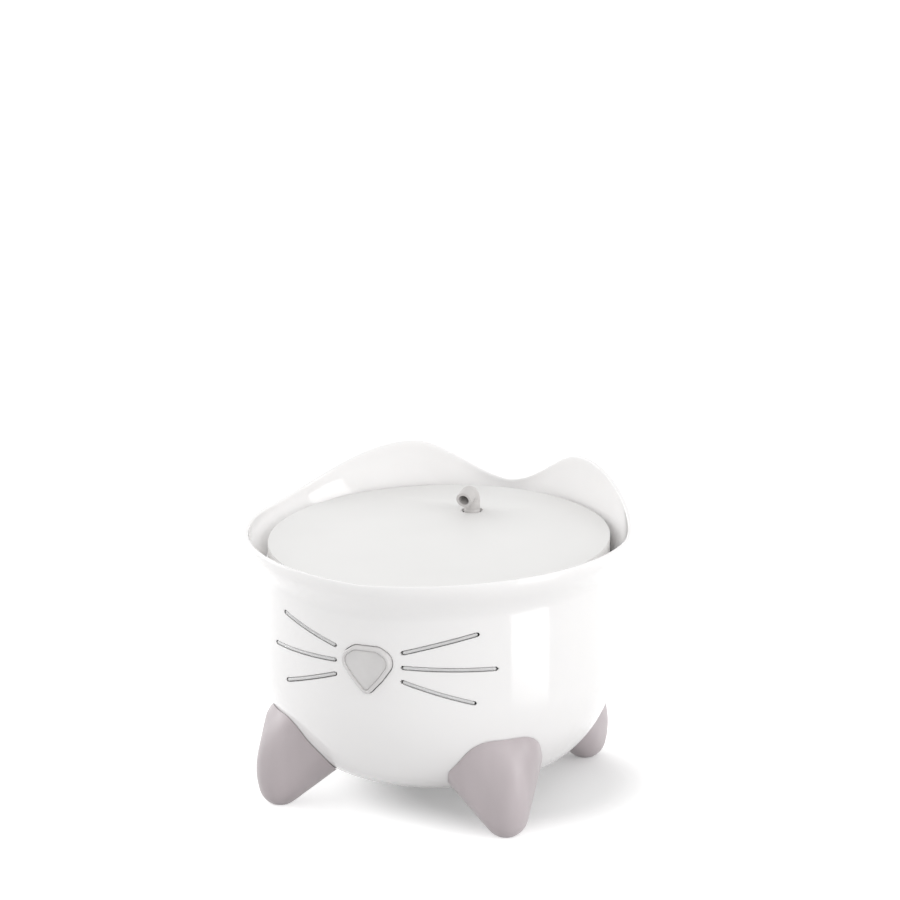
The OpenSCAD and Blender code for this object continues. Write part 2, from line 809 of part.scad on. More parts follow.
// Walls of the pocket between two heights
module pocket_walls(z_from, z_to) {
  translate([0, 0, z_from]) linear_extrude(z_to - z_from) pocket_outline(tray_wall);
}

// What the pocket takes away: no further back than just in front of the cap
module pocket_cut() {
  cut_w = 2 * bowl_r;
  cut_back_y = outlet_y - cap_r - 1;
  translate([0, 0, pocket_floor_z]) linear_extrude(dish_depth + pocket_depth) intersection() {
    pocket_outline(0);
    translate([-cut_w / 2, cut_back_y - cut_w]) square(cut_w);
  }
}

// Ledge that carries the filter's edge, and the post that enters the filter's hole
module pocket_ledge() {
  outer = 2 * pocket_half + eps;
  inner = 2 * (pocket_half - ledge_w);
  post_r = 5.5;
  post_h = 4;
  translate([0, filter_y, pocket_floor_z - eps]) {
    linear_extrude(ledge_h + eps) difference() {
      rounded_rect(outer, outer, pocket_corner_r);
      rounded_rect(inner, inner, pocket_corner_r - ledge_w / 2);
    }
    cylinder(h = ledge_h + post_h, r1 = post_r, r2 = post_r - 1);
  }
}

// Tray with its dish, its neck and the nozzle's pipe. The dish opens into the basket below.
module water_tray() {
  w = tray_wall;
  color("white")
    difference() {
      union() {
        translate([0, 0, deck_z - w]) cylinder(h = w, r = tray_r);
        translate([0, 0, support_z]) ring(tray_r, tray_r - w, tray_edge_h);
        dish_form(w, 0);
        pocket_walls(basket_top_z, deck_z);
        translate([0, outlet_y, deck_z - w]) cylinder(h = w + neck_h, r = neck_r);
        translate([0, outlet_y, tube_top_z + 1]) cylinder(h = deck_z - tube_top_z - 1, r = pipe_r);
        translate([0, outlet_y, pipe_end_z]) cylinder(h = deck_z - pipe_end_z, r = outlet_r);
      }
      difference() {
        dish_form(0, 1);
        translate([0, outlet_y, deck_z - dish_depth]) cylinder(h = dish_depth + 3, r = cap_r + 0.5);
      }
      pocket_cut();
      hole_places() translate([0, 0, deck_z - w - 1]) cylinder(h = w + 2, r = hole_r);
      translate([0, outlet_y, pipe_end_z - 1]) cylinder(h = pipe_drop + neck_h + 2, r = outlet_bore_r);
      translate([-neck_recess_w / 2, outlet_y - bowl_r, deck_z + eps])
        cube([neck_recess_w, bowl_r - neck_recess_y, neck_h + 1]);
    }
}

// Lower part of the pocket, with slots in its floor through which the water falls
module filter_basket() {
  color("white") {
    difference() {
      pocket_walls(pocket_floor_z - tray_wall, basket_top_z);
      pocket_cut();
      pocket_floor_slots();
    }
    pocket_ledge();
  }
}

// Upright loop behind the nozzle, by which the tray is lifted out
module tray_handle() {
  r = handle_span / 2;
  foot_r = 1.5;
  color("white") translate([handle_x, 0, deck_z])
    upright(bowl_r - handle_inset - handle_w / 2, bowl_r - handle_inset + handle_w / 2)
      difference() {
        union() {
          translate([0, handle_h - r]) circle(r);
          translate([-r, 0]) square([2 * r, handle_h - r]);
          translate([-r - foot_r, 0]) square([2 * (r + foot_r), foot_r]);
        }
        translate([0, handle_h - r]) circle(r - handle_band);
        translate([handle_band - r, -1]) square([2 * (r - handle_band), handle_h - r + 1]);
        translate([-2 * r, -2 * r]) square([4 * r, 2 * r]);
        for (s = [-1, 1]) translate([s * (r + foot_r), foot_r]) circle(foot_r);
      }
}

module nozzle_cap() {
  b = cap_bevel;
  boss_b = 0.4;
  boss_h = boss_top_z - cap_top_z;
  color("white") translate([0, outlet_y, 0])
    difference() {
      union() {
        translate([0, 0, cap_z]) cylinder(h = cap_h - b, r = cap_r);
        translate([0, 0, cap_top_z - b]) cylinder(h = b, r1 = cap_r, r2 = cap_r - b);
        translate([0, 0, cap_top_z - eps]) cylinder(h = boss_h - boss_b + eps, r = boss_r);
        translate([0, 0, boss_top_z - boss_b]) cylinder(h = boss_b, r1 = boss_r, r2 = boss_r - boss_b);
      }
      translate([0, 0, cap_z]) cylinder(h = 2 * cap_h, r = spout_r + running_gap);
      translate([0, 0, cap_z - 1]) cylinder(h = 1 + seal_t, r = seal_r);
    }
}

module nozzle_seal() {
  color("lightgray") translate([0, outlet_y, cap_z]) ring(seal_r - fixed_gap, outlet_bore_r, seal_t);
}

// ---------- filter ----------

module fleece_outline() {
  difference() {
    rounded_rect(filter_side, filter_side, filter_corner_r);
    circle(filter_hole_r);
  }
}

module filter_fleece() {
  color("aliceblue") translate([0, filter_y, filter_top_z - fleece_t])
    linear_extrude(fleece_t) fleece_outline();
}

// Pads on one side of the filter, each narrower underneath
module pads(side) {
  w = filter_side / 2 - pad_border - pad_lane / 2;
  mid = pad_lane / 2 + w / 2;
  inset = 1.5;
  step_h = 2;
  translate([0, filter_y, filter_z])
    for (s = [-1, 1])
      translate([side * mid, s * mid, 0]) {
        translate([0, 0, step_h]) linear_extrude(pad_h - step_h) rounded_rect(w, w, pad_corner_r);
        linear_extrude(step_h) rounded_rect(w - 2 * inset, w - 2 * inset, pad_corner_r - inset);
      }
}
module carbon_pads() { color("darkgray") pads(-1); }
module resin_pads() { color("burlywood") pads(1); }

// ---------- cover ----------

// Everything under a plane that slopes like the cover, a given distance below its top
module below_slope(drop) {
  translate([0, 0, cover_z]) rotate([cover_tilt, 0, 0])
    translate([-2 * bowl_r, -2 * bowl_r, -bowl_r - drop]) cube([4 * bowl_r, 4 * bowl_r, bowl_r]);
}

module cover_form(r, drop) {
  intersection() {
    translate([0, 0, deck_z]) cylinder(h = 3 * cover_h, r = r);
    below_slope(drop);
  }
}

module top_cover() {
  far = 2 * bowl_r;
  half_w = far * tan(cover_open_angle);
  color("whitesmoke")
    difference() {
      cover_form(cover_r, 0);
      translate([0, 0, -eps]) cover_form(cover_r - cover_t, cover_t);
      intersection() {
        translate([0, 0, deck_z - 1])
          linear_extrude(3 * cover_h) polygon([[0, 0], [-half_w, -far], [half_w, -far]]);
        below_slope(cover_t);
      }
      translate([0, outlet_y, deck_z]) cylinder(h = 3 * cover_h, r = cover_hole_r);
    }
}

// ---------- spout ----------

module spout_collar() {
  color("white") translate([0, outlet_y, 0])
    difference() {
      translate([0, 0, spout_z]) cylinder(h = collar_h, r = spout_r);
      translate([0, 0, spout_z - 1]) cylinder(h = collar_h, r = spout_bore_r);
      translate([0, 0, elbow_z - spigot_l]) cylinder(h = spigot_l + 1, r = spigot_r + running_gap);
      translate([0, 0, groove_z]) ring(spout_r + 1, groove_r, groove_h);
    }
}

module spout_seal() {
  color("darkgray") translate([0, outlet_y, groove_z]) ring(spout_r, groove_r, groove_h);
}

// Elbow that turns in the collar and points to the front. Its straight ends are a touch
// wider than its bend, which runs a little way into each of them.
module spout_elbow() {
  step = 0.05;
  bend_r = spout_r + 0.6;
  bend_angle = 90 + mouth_dip;
  lap = atan(0.3 / bend_r);
  stem_h = spout_h - collar_h - bend_r - spout_r;
  mouth_l = spout_reach - bend_r;
  color("lightgray") translate([0, outlet_y, elbow_z]) {
    translate([0, 0, end_gap - spigot_l]) ring(spigot_r, spout_bore_r, spigot_l + 1 - end_gap);
    ring(spout_r, spout_bore_r, stem_h);
    translate([0, -bend_r, stem_h]) rotate([90, 0, 90]) {
      rotate(-lap) rotate_extrude(angle = bend_angle + 2 * lap)
        translate([bend_r, 0]) difference() {
          circle(spout_r - step);
          circle(spout_bore_r + step);
        }
      rotate(bend_angle) translate([bend_r, 0, 0]) rotate([-90, 0, 0])
        ring(spout_r, spout_bore_r, mouth_l);
    }
  }
}

bowl_shell();
nose_lens();
whiskers_left();
whiskers_right();
foot_front_left();
foot_front_right();
foot_back_left();
foot_back_right();
pump_housing();
intake_cover();
impeller();
rotor_magnet();
impeller_shaft();
motor_stator();
speed_knob();
lamp_lens();
lead_gland();
pump_lead();
riser_tube();
water_tray();
filter_basket();
tray_handle();
nozzle_cap();
nozzle_seal();
filter_fleece();
carbon_pads();
resin_pads();
top_cover();
spout_collar();
spout_seal();
spout_elbow();
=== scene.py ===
"""Dresses the pet water fountain: smooth moulded pieces, a quilted filter, finishes, light and camera.

Lengths inside the classes are in millimetres, as in the part's source, and become metres when a mesh is
made. Materials, lamps and the camera use metres.
"""

import logging
import math
from dataclasses import dataclass
from enum import Enum
from typing import Callable, Iterable, Sequence

import bmesh
import bpy
from mathutils import Matrix, Vector, noise


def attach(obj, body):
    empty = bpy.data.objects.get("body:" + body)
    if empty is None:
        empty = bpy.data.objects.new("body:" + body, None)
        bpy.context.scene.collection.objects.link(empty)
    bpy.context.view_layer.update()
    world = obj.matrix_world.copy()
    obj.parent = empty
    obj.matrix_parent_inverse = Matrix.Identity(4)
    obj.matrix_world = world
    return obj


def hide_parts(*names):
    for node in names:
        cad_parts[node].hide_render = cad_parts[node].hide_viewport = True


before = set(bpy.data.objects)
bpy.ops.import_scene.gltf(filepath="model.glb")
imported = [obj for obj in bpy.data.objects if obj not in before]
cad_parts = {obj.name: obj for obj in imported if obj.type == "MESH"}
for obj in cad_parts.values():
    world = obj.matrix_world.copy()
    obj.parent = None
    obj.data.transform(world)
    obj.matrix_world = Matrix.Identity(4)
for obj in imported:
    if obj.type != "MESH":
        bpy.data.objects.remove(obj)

LOG = logging.getLogger("fountain")
MM = 0.001
WHITE = (1.0, 1.0, 1.0, 1.0)

# Place of the pump, which the bowl's seat, the pump's lead and the tube share
OUTLET_Y = 52.0
PUMP_TURN = 45.0
SEAT_Z = 24.0

Flat = tuple[float, float]
Pair = tuple[float, float]
Point = tuple[float, float, float]
Triple = tuple[float, float, float]
Colour = tuple[float, float, float]


# ---------------------------------------------------------------- nodes


def fill(tree: bpy.types.NodeTree, socket: bpy.types.NodeSocket, value: object) -> None:
    """Feeds an input from another node's socket, or sets its own value.

    Args:
        tree: The node tree.
        socket: The input.
        value: The socket that feeds it, or the value.
    """
    if isinstance(value, bpy.types.NodeSocket):
        tree.links.new(value, socket)
    else:
        socket.default_value = value


def add_node(tree: bpy.types.NodeTree, kind: str, **inputs: object) -> bpy.types.Node:
    """Adds a node and fills its inputs.

    Args:
        tree: The node tree.
        kind: Blender's name for this kind of node.
        **inputs: Value or feeding socket of each named input, with _ for a space.

    Returns:
        The node.
    """
    node = tree.nodes.new(kind)
    for name, value in inputs.items():
        fill(tree, node.inputs[name.replace("_", " ")], value)
    return node


def combine(tree: bpy.types.NodeTree, operation: str, a: object, b: object) -> bpy.types.NodeSocket:
    """Works out one number from two.

    Args:
        tree: The node tree.
        operation: Name of the operation.
        a: First number, or the socket that gives it.
        b: Second number, or the socket that gives it.

    Returns:
        The socket with the result.
    """
    node = add_node(tree, "ShaderNodeMath")
    node.operation = operation
    for socket, value in zip(node.inputs, (a, b)):
        fill(tree, socket, value)
    return node.outputs[0]


def map_range(
    tree: bpy.types.NodeTree, value: bpy.types.NodeSocket, source: Pair, target: Pair, soft: bool = False
) -> bpy.types.NodeSocket:
    """Maps one range of numbers onto another.

    Args:
        tree: The node tree.
        value: Socket with the number.
        source: The range that the number comes from.
        target: The range that it is mapped onto.
        soft: True for a blend that starts and ends slowly.

    Returns:
        The socket with the result.
    """
    node = add_node(
        tree, "ShaderNodeMapRange", Value=value,
        From_Min=source[0], From_Max=source[1], To_Min=target[0], To_Max=target[1],
    )
    if soft:
        node.interpolation_type = "SMOOTHSTEP"
    return node.outputs["Result"]


def seen_directly(tree: bpy.types.NodeTree) -> bpy.types.NodeSocket:
    """Adds a value that is 1 for the camera and for what it sees by reflection or through clear pieces.

    Args:
        tree: Node tree of a material or a world.

    Returns:
        The socket with the value.
    """
    rays = add_node(tree, "ShaderNodeLightPath").outputs
    value = rays["Is Camera Ray"]
    for ray in ("Is Glossy Ray", "Is Transmission Ray"):
        value = combine(tree, "MAXIMUM", value, rays[ray])
    return value


def join_shaders(
    tree: bpy.types.NodeTree, kind: str, a: bpy.types.Node, b: bpy.types.Node, **inputs: object
) -> bpy.types.NodeSocket:
    """Adds or mixes two shaders.

    Args:
        tree: The node tree.
        kind: Blender's name for the node that joins them, whose last two inputs are the shaders.
        a: Node of the first shader.
        b: Node of the second shader.
        **inputs: Its other inputs.

    Returns:
        The socket with the joined shader.
    """
    node = add_node(tree, kind, **inputs)
    for socket, shader in zip(list(node.inputs)[-2:], (a, b)):
        fill(tree, socket, shader.outputs[0])
    return node.outputs[0]


class NodeBench:
    """Short ways of adding patterns to one material."""

    def __init__(self, name: str) -> None:
        """Makes a material with a Principled shader.

        Args:
            name: Name of the material.
        """
        self.material = bpy.data.materials.new(name)
        self.material.use_nodes = True
        self.tree = self.material.node_tree
        self.shader = self.tree.nodes["Principled BSDF"]
        self.coordinates = add_node(self.tree, "ShaderNodeTexCoord").outputs["Object"]

    def set(self, **inputs: object) -> None:
        """Fills the shader's inputs, named with _ for a space."""
        for name, value in inputs.items():
            fill(self.tree, self.shader.inputs[name.replace("_", " ")], value)

    def noise(self, cells: float, layers: float, stretch: Triple | None = None) -> bpy.types.NodeSocket:
        """Adds a noise pattern.

        Args:
            cells: Cells per metre.
            layers: Number of finer layers.
            stretch: Stretch along X, Y and Z, or None for none.

        Returns:
            The socket with the pattern's value.
        """
        place = self.coordinates
        if stretch:
            place = add_node(self.tree, "ShaderNodeMapping", Vector=place, Scale=stretch).outputs["Vector"]
        pattern = add_node(self.tree, "ShaderNodeTexNoise", Vector=place, Scale=cells, Detail=layers)
        return pattern.outputs["Fac"]

    def beads(self, cells: float) -> bpy.types.NodeSocket:
        """Adds a pattern of round cells, as the distance to the nearest cell's middle."""
        pattern = add_node(self.tree, "ShaderNodeTexVoronoi", Vector=self.coordinates, Scale=cells)
        return pattern.outputs["Distance"]

    def ramp(
        self, value: bpy.types.NodeSocket, low: Colour, high: Colour, start: float = 0.35, end: float = 0.65
    ) -> bpy.types.NodeSocket:
        """Turns a value into a colour between two.

        Args:
            value: Socket with the value.
            low: Colour at and below start.
            high: Colour at and above end.
            start: Value where the blend starts.
            end: Value where the blend ends.

        Returns:
            The socket with the colour.
        """
        node = add_node(self.tree, "ShaderNodeValToRGB", Fac=value)
        for element, position, colour in zip(node.color_ramp.elements, (start, end), (low, high)):
            element.position = position
            element.color = (*colour, 1)
        return node.outputs["Color"]

    def spread(self, value: bpy.types.NodeSocket, low: float, high: float) -> bpy.types.NodeSocket:
        """Maps a pattern's middle range onto two numbers.

        Args:
            value: Socket with the pattern.
            low: Number at the pattern's low side.
            high: Number at its high side.

        Returns:
            The socket with the number.
        """
        return map_range(self.tree, value, (0.3, 0.7), (low, high))

    def mix(
        self, share: bpy.types.NodeSocket, a: bpy.types.NodeSocket, b: bpy.types.NodeSocket
    ) -> bpy.types.NodeSocket:
        """Blends two colours.

        Args:
            share: Socket with the share of b.
            a: Socket with the first colour.
            b: Socket with the second colour.

        Returns:
            The socket with the blend.
        """
        node = add_node(self.tree, "ShaderNodeMix")
        node.data_type = "RGBA"
        sockets = {socket.identifier: socket for socket in (*node.inputs, *node.outputs)}
        for name, value in {"Factor_Float": share, "A_Color": a, "B_Color": b}.items():
            fill(self.tree, sockets[name], value)
        return sockets["Result_Color"]

    def bump(self, height: bpy.types.NodeSocket, depth: float, share: float) -> None:
        """Gives the surface relief.

        Args:
            height: Socket with the relief's height.
            depth: Height of the relief in metres.
            share: Share of the relief that shows.
        """
        relief = add_node(self.tree, "ShaderNodeBump", Height=height, Distance=depth, Strength=share)
        self.set(Normal=relief.outputs["Normal"])

    def add_glow(self, spot: Point, near: float, far: float, reach: Pair) -> None:
        """Adds white light that only the camera and clear or shining surfaces see.

        Args:
            spot: Place in metres where the light is weakest.
            near: Strength of the light close to the spot, where 1 is white.
            far: Its strength far from the spot.
            reach: Distances in metres from and to which it grows.
        """
        distance = add_node(self.tree, "ShaderNodeVectorMath")
        distance.operation = "DISTANCE"
        for socket, value in zip(distance.inputs, (self.coordinates, spot)):
            fill(self.tree, socket, value)
        strength = map_range(self.tree, distance.outputs["Value"], reach, (near, far), soft=True)
        seen = combine(self.tree, "MULTIPLY", strength, seen_directly(self.tree))
        self.set(Emission_Strength=seen, Emission_Color=WHITE)


# ---------------------------------------------------------------- finishes


class Sheen(Enum):
    """How much a moulded surface shines, as its roughness."""

    MATT = 0.55
    SATIN = 0.34
    GLOSSY = 0.08


def shade(colour: Colour, factor: float) -> Colour:
    """Makes a colour lighter or darker."""
    return tuple(min(1.0, c * factor) for c in colour)


@dataclass(frozen=True)
class Moulded:
    """Injection-moulded plastic with a fine grain and faint flow marks."""

    name: str
    colour: Colour
    sheen: Sheen = Sheen.SATIN
    grain: float = 0.00001
    coat: float = 0.0
    glow: float = 0.0

    def build(self) -> bpy.types.Material:
        """Makes the material.

        Returns:
            The material.
        """
        bench = NodeBench(self.name)
        flow = bench.noise(cells=14.0, layers=2.0)
        wear = bench.noise(cells=60.0, layers=4.0)
        rough = self.sheen.value
        bench.bump(bench.noise(cells=2600.0, layers=2.0), depth=self.grain, share=0.5)
        bench.set(
            Base_Color=bench.ramp(flow, shade(self.colour, 0.985), shade(self.colour, 1.01)),
            Roughness=bench.spread(wear, rough - 0.03, rough + 0.04),
            IOR=1.5,
            Coat_Weight=self.coat,
            Coat_Roughness=0.06,
            Subsurface_Weight=self.glow,
            Subsurface_Scale=0.003,
            Subsurface_Radius=(1.0, 0.97, 0.95),
        )
        return bench.material


@dataclass(frozen=True)
class Clear:
    """Clear plastic, silicone or glass with a tint."""

    name: str
    colour: Colour
    clarity: float = 0.7
    rough: float = 0.12
    ior: float = 1.46

    def build(self) -> bpy.types.Material:
        """Makes the material.

        Returns:
            The material.
        """
        bench = NodeBench(self.name)
        clouds = bench.noise(cells=90.0, layers=2.0)
        wear = bench.noise(cells=220.0, layers=3.0)
        bench.bump(bench.noise(cells=900.0, layers=1.0), depth=0.00002, share=0.4)
        bench.set(
            Base_Color=bench.ramp(clouds, shade(self.colour, 0.96), shade(self.colour, 1.02)),
            Roughness=bench.spread(wear, self.rough * 0.8, self.rough * 1.3),
            Transmission_Weight=self.clarity,
            IOR=self.ior,
        )
        return bench.material


@dataclass(frozen=True)
class SoftTouch:
    """Rubbery plastic with a satin skin."""

    name: str
    colour: Colour
    rough: float = 0.42
    stretch: Triple = (1.0, 1.0, 1.0)

    def build(self) -> bpy.types.Material:
        """Makes the material.

        Returns:
            The material.
        """
        bench = NodeBench(self.name)
        clouds = bench.noise(cells=45.0, layers=2.0, stretch=self.stretch)
        wear = bench.noise(cells=120.0, layers=4.0)
        bench.bump(bench.noise(cells=3200.0, layers=3.0), depth=0.00002, share=0.5)
        bench.set(
            Base_Color=bench.ramp(clouds, shade(self.colour, 0.93), shade(self.colour, 1.04)),
            Roughness=bench.spread(wear, self.rough - 0.05, self.rough + 0.06),
            Sheen_Weight=0.15,
            Sheen_Roughness=0.4,
            IOR=1.48,
        )
        return bench.material


@dataclass(frozen=True)
class Metal:
    """Drawn or wound metal with fine lines round its length."""

    name: str
    colour: Colour
    rough: float
    stretch: Triple = (1.0, 1.0, 1.0)

    def build(self) -> bpy.types.Material:
        """Makes the material.

        Returns:
            The material.
        """
        bench = NodeBench(self.name)
        lines = bench.noise(cells=900.0, layers=2.0, stretch=self.stretch)
        bench.bump(lines, depth=0.00005, share=0.5)
        bench.set(
            Base_Color=bench.ramp(lines, shade(self.colour, 0.8), self.colour),
            Roughness=bench.spread(lines, self.rough - 0.08, self.rough + 0.1),
            Metallic=1.0,
        )
        return bench.material


@dataclass(frozen=True)
class Granules:
    """Packed granules that show through their thin wrapping, with painted shade in the gaps between grains.
    """

    name: str
    dark: Colour
    light: Colour
    cells: float = 850.0

    def build(self) -> bpy.types.Material:
        """Makes the material.

        Returns:
            The material.
        """
        bench = NodeBench(self.name)
        grains = bench.beads(self.cells)
        # Each grain is painted lighter in its middle and darker towards its edge: painted shade in the gaps
        # between grains
        beads = bench.ramp(grains, self.light, self.dark, start=0.15, end=0.62)
        clumps = bench.noise(cells=120.0, layers=4.0)
        patches = bench.ramp(clumps, self.dark, self.light, start=0.38, end=0.62)
        bench.bump(grains, depth=0.0004, share=0.35)
        bench.set(
            Base_Color=bench.mix(bench.noise(cells=60.0, layers=2.0), beads, patches),
            Roughness=bench.spread(bench.noise(cells=400.0, layers=2.0), 0.6, 0.85),
            Sheen_Weight=0.2,
            Sheen_Roughness=0.6,
        )
        return bench.material


@dataclass(frozen=True)
class Fleece:
    """Thin bonded fleece: crossing fibres over the tint that the piece's own attribute gives."""

    name: str
    fibre: Colour
    attribute: str = "tint"

    def build(self) -> bpy.types.Material:
        """Makes the material.

        Returns:
            The material.
        """
        bench = NodeBench(self.name)
        tint = add_node(bench.tree, "ShaderNodeAttribute")
        tint.attribute_name = self.attribute
        strands = bench.noise(cells=420.0, layers=5.0, stretch=(1.0, 0.22, 1.0))
        crossing = bench.noise(cells=420.0, layers=5.0, stretch=(0.22, 1.0, 1.0))
        weave = combine(bench.tree, "MULTIPLY", strands, crossing)
        share = map_range(bench.tree, weave, (0.2, 0.36), (0.12, 0.5))
        fibre = bench.ramp(strands, shade(self.fibre, 0.94), self.fibre)
        bench.bump(weave, depth=0.0003, share=0.6)
        bench.set(
            Base_Color=bench.mix(share, tint.outputs["Color"], fibre),
            Roughness=bench.spread(crossing, 0.55, 0.8),
            Sheen_Weight=0.35,
            Sheen_Roughness=0.5,
        )
        return bench.material


@dataclass(frozen=True)
class Finishes:
    """Every finish of the fountain."""

    bowl: Moulded = Moulded(
        "bowl_white", (0.965, 0.95, 0.945), Sheen.GLOSSY, grain=0.000003, coat=0.35, glow=0.25
    )
    nose: Clear = Clear("nose_grey", (0.80, 0.785, 0.78), clarity=0.1, rough=0.06)
    whisker: Clear = Clear("whisker_clear", (0.93, 0.93, 0.93), clarity=0.3, rough=0.05)
    foot: SoftTouch = SoftTouch("foot_taupe", (0.54, 0.485, 0.50), rough=0.36, stretch=(1.0, 1.0, 0.12))
    pump: Moulded = Moulded("pump_white", (0.81, 0.79, 0.80), Sheen.SATIN, grain=0.00002)
    lead: SoftTouch = SoftTouch("lead_grey", (0.52, 0.48, 0.56), rough=0.38)
    lamp: Clear = Clear("lamp_red", (0.75, 0.03, 0.02), clarity=0.25, rough=0.1)
    tube: Clear = Clear("tube_clear", (0.96, 0.925, 0.89), clarity=0.8, rough=0.1, ior=1.41)
    tray: Moulded = Moulded("tray_white", (0.95, 0.945, 0.945), Sheen.GLOSSY, grain=0.000005, glow=0.25)
    seal: SoftTouch = SoftTouch("seal_grey", (0.55, 0.55, 0.57), rough=0.35)
    cover: Moulded = Moulded("cover_white", (0.84, 0.835, 0.825), Sheen.MATT, grain=0.00004)
    collar: Moulded = Moulded("collar_white", (0.69, 0.67, 0.66), Sheen.SATIN)
    elbow: Moulded = Moulded("elbow_grey", (0.61, 0.59, 0.58), Sheen.SATIN)
    fleece: Fleece = Fleece("fleece_white", (0.95, 0.965, 0.965))
    carbon: Granules = Granules("carbon_grey", (0.24, 0.25, 0.245), (0.60, 0.61, 0.60))
    resin: Granules = Granules("resin_amber", (0.68, 0.49, 0.34), (0.88, 0.74, 0.61))
    rotor: Moulded = Moulded("rotor_blue", (0.16, 0.24, 0.42), Sheen.SATIN)
    magnet: SoftTouch = SoftTouch("magnet_grey", (0.05, 0.05, 0.055), rough=0.5)
    shaft: Moulded = Moulded("shaft_ceramic", (0.82, 0.79, 0.73), Sheen.GLOSSY)
    winding: Metal = Metal("winding_copper", (0.72, 0.32, 0.15), rough=0.32, stretch=(0.2, 3.0, 3.0))


# ---------------------------------------------------------------- mesh work


class Bench:
    """Ways of making and finishing meshes."""

    @staticmethod
    def put(name: str, data: bpy.types.ID) -> bpy.types.Object:
        """Puts an object with some data in the scene, at the origin and unturned."""
        made = bpy.data.objects.new(name, data)
        bpy.context.scene.collection.objects.link(made)
        return made

    @staticmethod
    def piece(
        name: str, points: Iterable[Point], faces: Iterable[Sequence[int]], material: bpy.types.Material
    ) -> bpy.types.Object:
        """Makes an object from points in millimetres.

        Args:
            name: Name of the piece.
            points: Its points.
            faces: Its faces, as indices of points.
            material: Its finish.

        Returns:
            The object.
        """
        mesh = bpy.data.meshes.new(name)
        mesh.from_pydata([(x * MM, y * MM, z * MM) for x, y, z in points], [], [tuple(f) for f in faces])
        mesh.materials.append(material)
        return Bench.put(name, mesh)

    @staticmethod
    def outward(made: bpy.types.Object, weld: float = 1e-6) -> None:
        """Merges doubles and turns every face outwards.

        Args:
            made: The object.
            weld: Distance in metres below which points merge.
        """
        mesh = bmesh.new()
        mesh.from_mesh(made.data)
        bmesh.ops.remove_doubles(mesh, verts=mesh.verts, dist=weld)
        bmesh.ops.recalc_face_normals(mesh, faces=mesh.faces)
        mesh.to_mesh(made.data)
        mesh.free()

    @staticmethod
    def smooth(made: bpy.types.Object, degrees: float) -> None:
        """Shades smooth, with edges sharper than an angle kept crisp.

        Args:
            made: The object.
            degrees: The angle.
        """
        made.data.shade_smooth()
        made.data.set_sharp_from_angle(angle=math.radians(degrees))

    @staticmethod
    def bake(made: bpy.types.Object) -> None:
        """Applies the modifiers of an object, which leaves a plain mesh.

        Args:
            made: The object.
        """
        bpy.context.view_layer.update()
        evaluated = made.evaluated_get(bpy.context.evaluated_depsgraph_get())
        plain = bpy.data.meshes.new_from_object(evaluated)
        made.modifiers.clear()
        made.data = plain

    @staticmethod
    def cut(made: bpy.types.Object, tool: bpy.types.Object, operation: str = "DIFFERENCE") -> None:
        """Takes one closed solid from another, or joins or intersects them, and removes the tool.

        Args:
            made: The object that stays.
            tool: The object that is used up.
            operation: Kind of the operation.
        """
        modifier = made.modifiers.new("cut", "BOOLEAN")
        modifier.object = tool
        modifier.operation = operation
        modifier.solver = "EXACT"
        modifier.material_mode = "TRANSFER" if operation == "UNION" else "INDEX"
        Bench.bake(made)
        bpy.data.objects.remove(tool)

    @staticmethod
    def round_edges(made: bpy.types.Object, width: float, segments: int = 2, degrees: float = 35.0) -> None:
        """Rounds the sharp edges of an object.

        Args:
            made: The object.
            width: Width of the rounding in millimetres.
            segments: Number of faces across it.
            degrees: Angle above which an edge is rounded.
        """
        modifier = made.modifiers.new("round", "BEVEL")
        modifier.width = width * MM
        modifier.segments = segments
        modifier.limit_method = "ANGLE"
        modifier.angle_limit = math.radians(degrees)
        modifier.use_clamp_overlap = True
        modifier.miter_outer = "MITER_ARC"
        Bench.bake(made)

    @staticmethod
    def join(name: str, parts: Sequence[bpy.types.Object]) -> bpy.types.Object:
        """Puts several objects with one finish into one.

        Args:
            name: Name of the new piece.
            parts: The objects, which are used up.

        Returns:
            The new object.
        """
        whole = bmesh.new()
        for part in parts:
            whole.from_mesh(part.data)
        mesh = bpy.data.meshes.new(name)
        whole.to_mesh(mesh)
        whole.free()
        mesh.materials.append(parts[0].data.materials[0])
        for part in parts:
            bpy.data.objects.remove(part)
        return Bench.put(name, mesh)

    @staticmethod
    def loft(
        name: str, rings: Sequence[Sequence[Point]], material: bpy.types.Material, closed: bool = False
    ) -> bpy.types.Object:
        """Joins rings of equally many points into a skin, with its ends filled unless it closes on itself.

        Args:
            name: Name of the piece.
            rings: The rings, in order.
            material: Its finish.
            closed: True where the last ring joins the first.

        Returns:
            The object.
        """
        count = len(rings[0])
        points = [p for ring in rings for p in ring]
        faces: list[Sequence[int]] = []
        for i in range(len(rings) if closed else len(rings) - 1):
            a, b = i * count, ((i + 1) % len(rings)) * count
            faces += [(a + j, a + (j + 1) % count, b + (j + 1) % count, b + j) for j in range(count)]
        if not closed:
            faces.append(tuple(reversed(range(count))))
            faces.append(tuple(range((len(rings) - 1) * count, len(rings) * count)))
        made = Bench.piece(name, points, faces, material)
        Bench.outward(made)
        return made

    @staticmethod
    def lathe(
        name: str,
        profile: Sequence[Flat],
        place: Callable[[float, float, float], Point],
        material: bpy.types.Material,
        steps: int = 96,
    ) -> bpy.types.Object:
        """Turns a closed profile about an axis.

        Args:
            name: Name of the piece.
            profile: Points as radius and distance along the axis, none of them on the axis.
            place: Turns (across, up, along) into a point of the model.
            material: Its finish.
            steps: Number of faces round the axis.

        Returns:
            The object.
        """
        turns = [2 * math.pi * i / steps for i in range(steps)]
        rings = [[place(r * math.cos(t), r * math.sin(t), h) for r, h in profile] for t in turns]
        return Bench.loft(name, rings, material, closed=True)


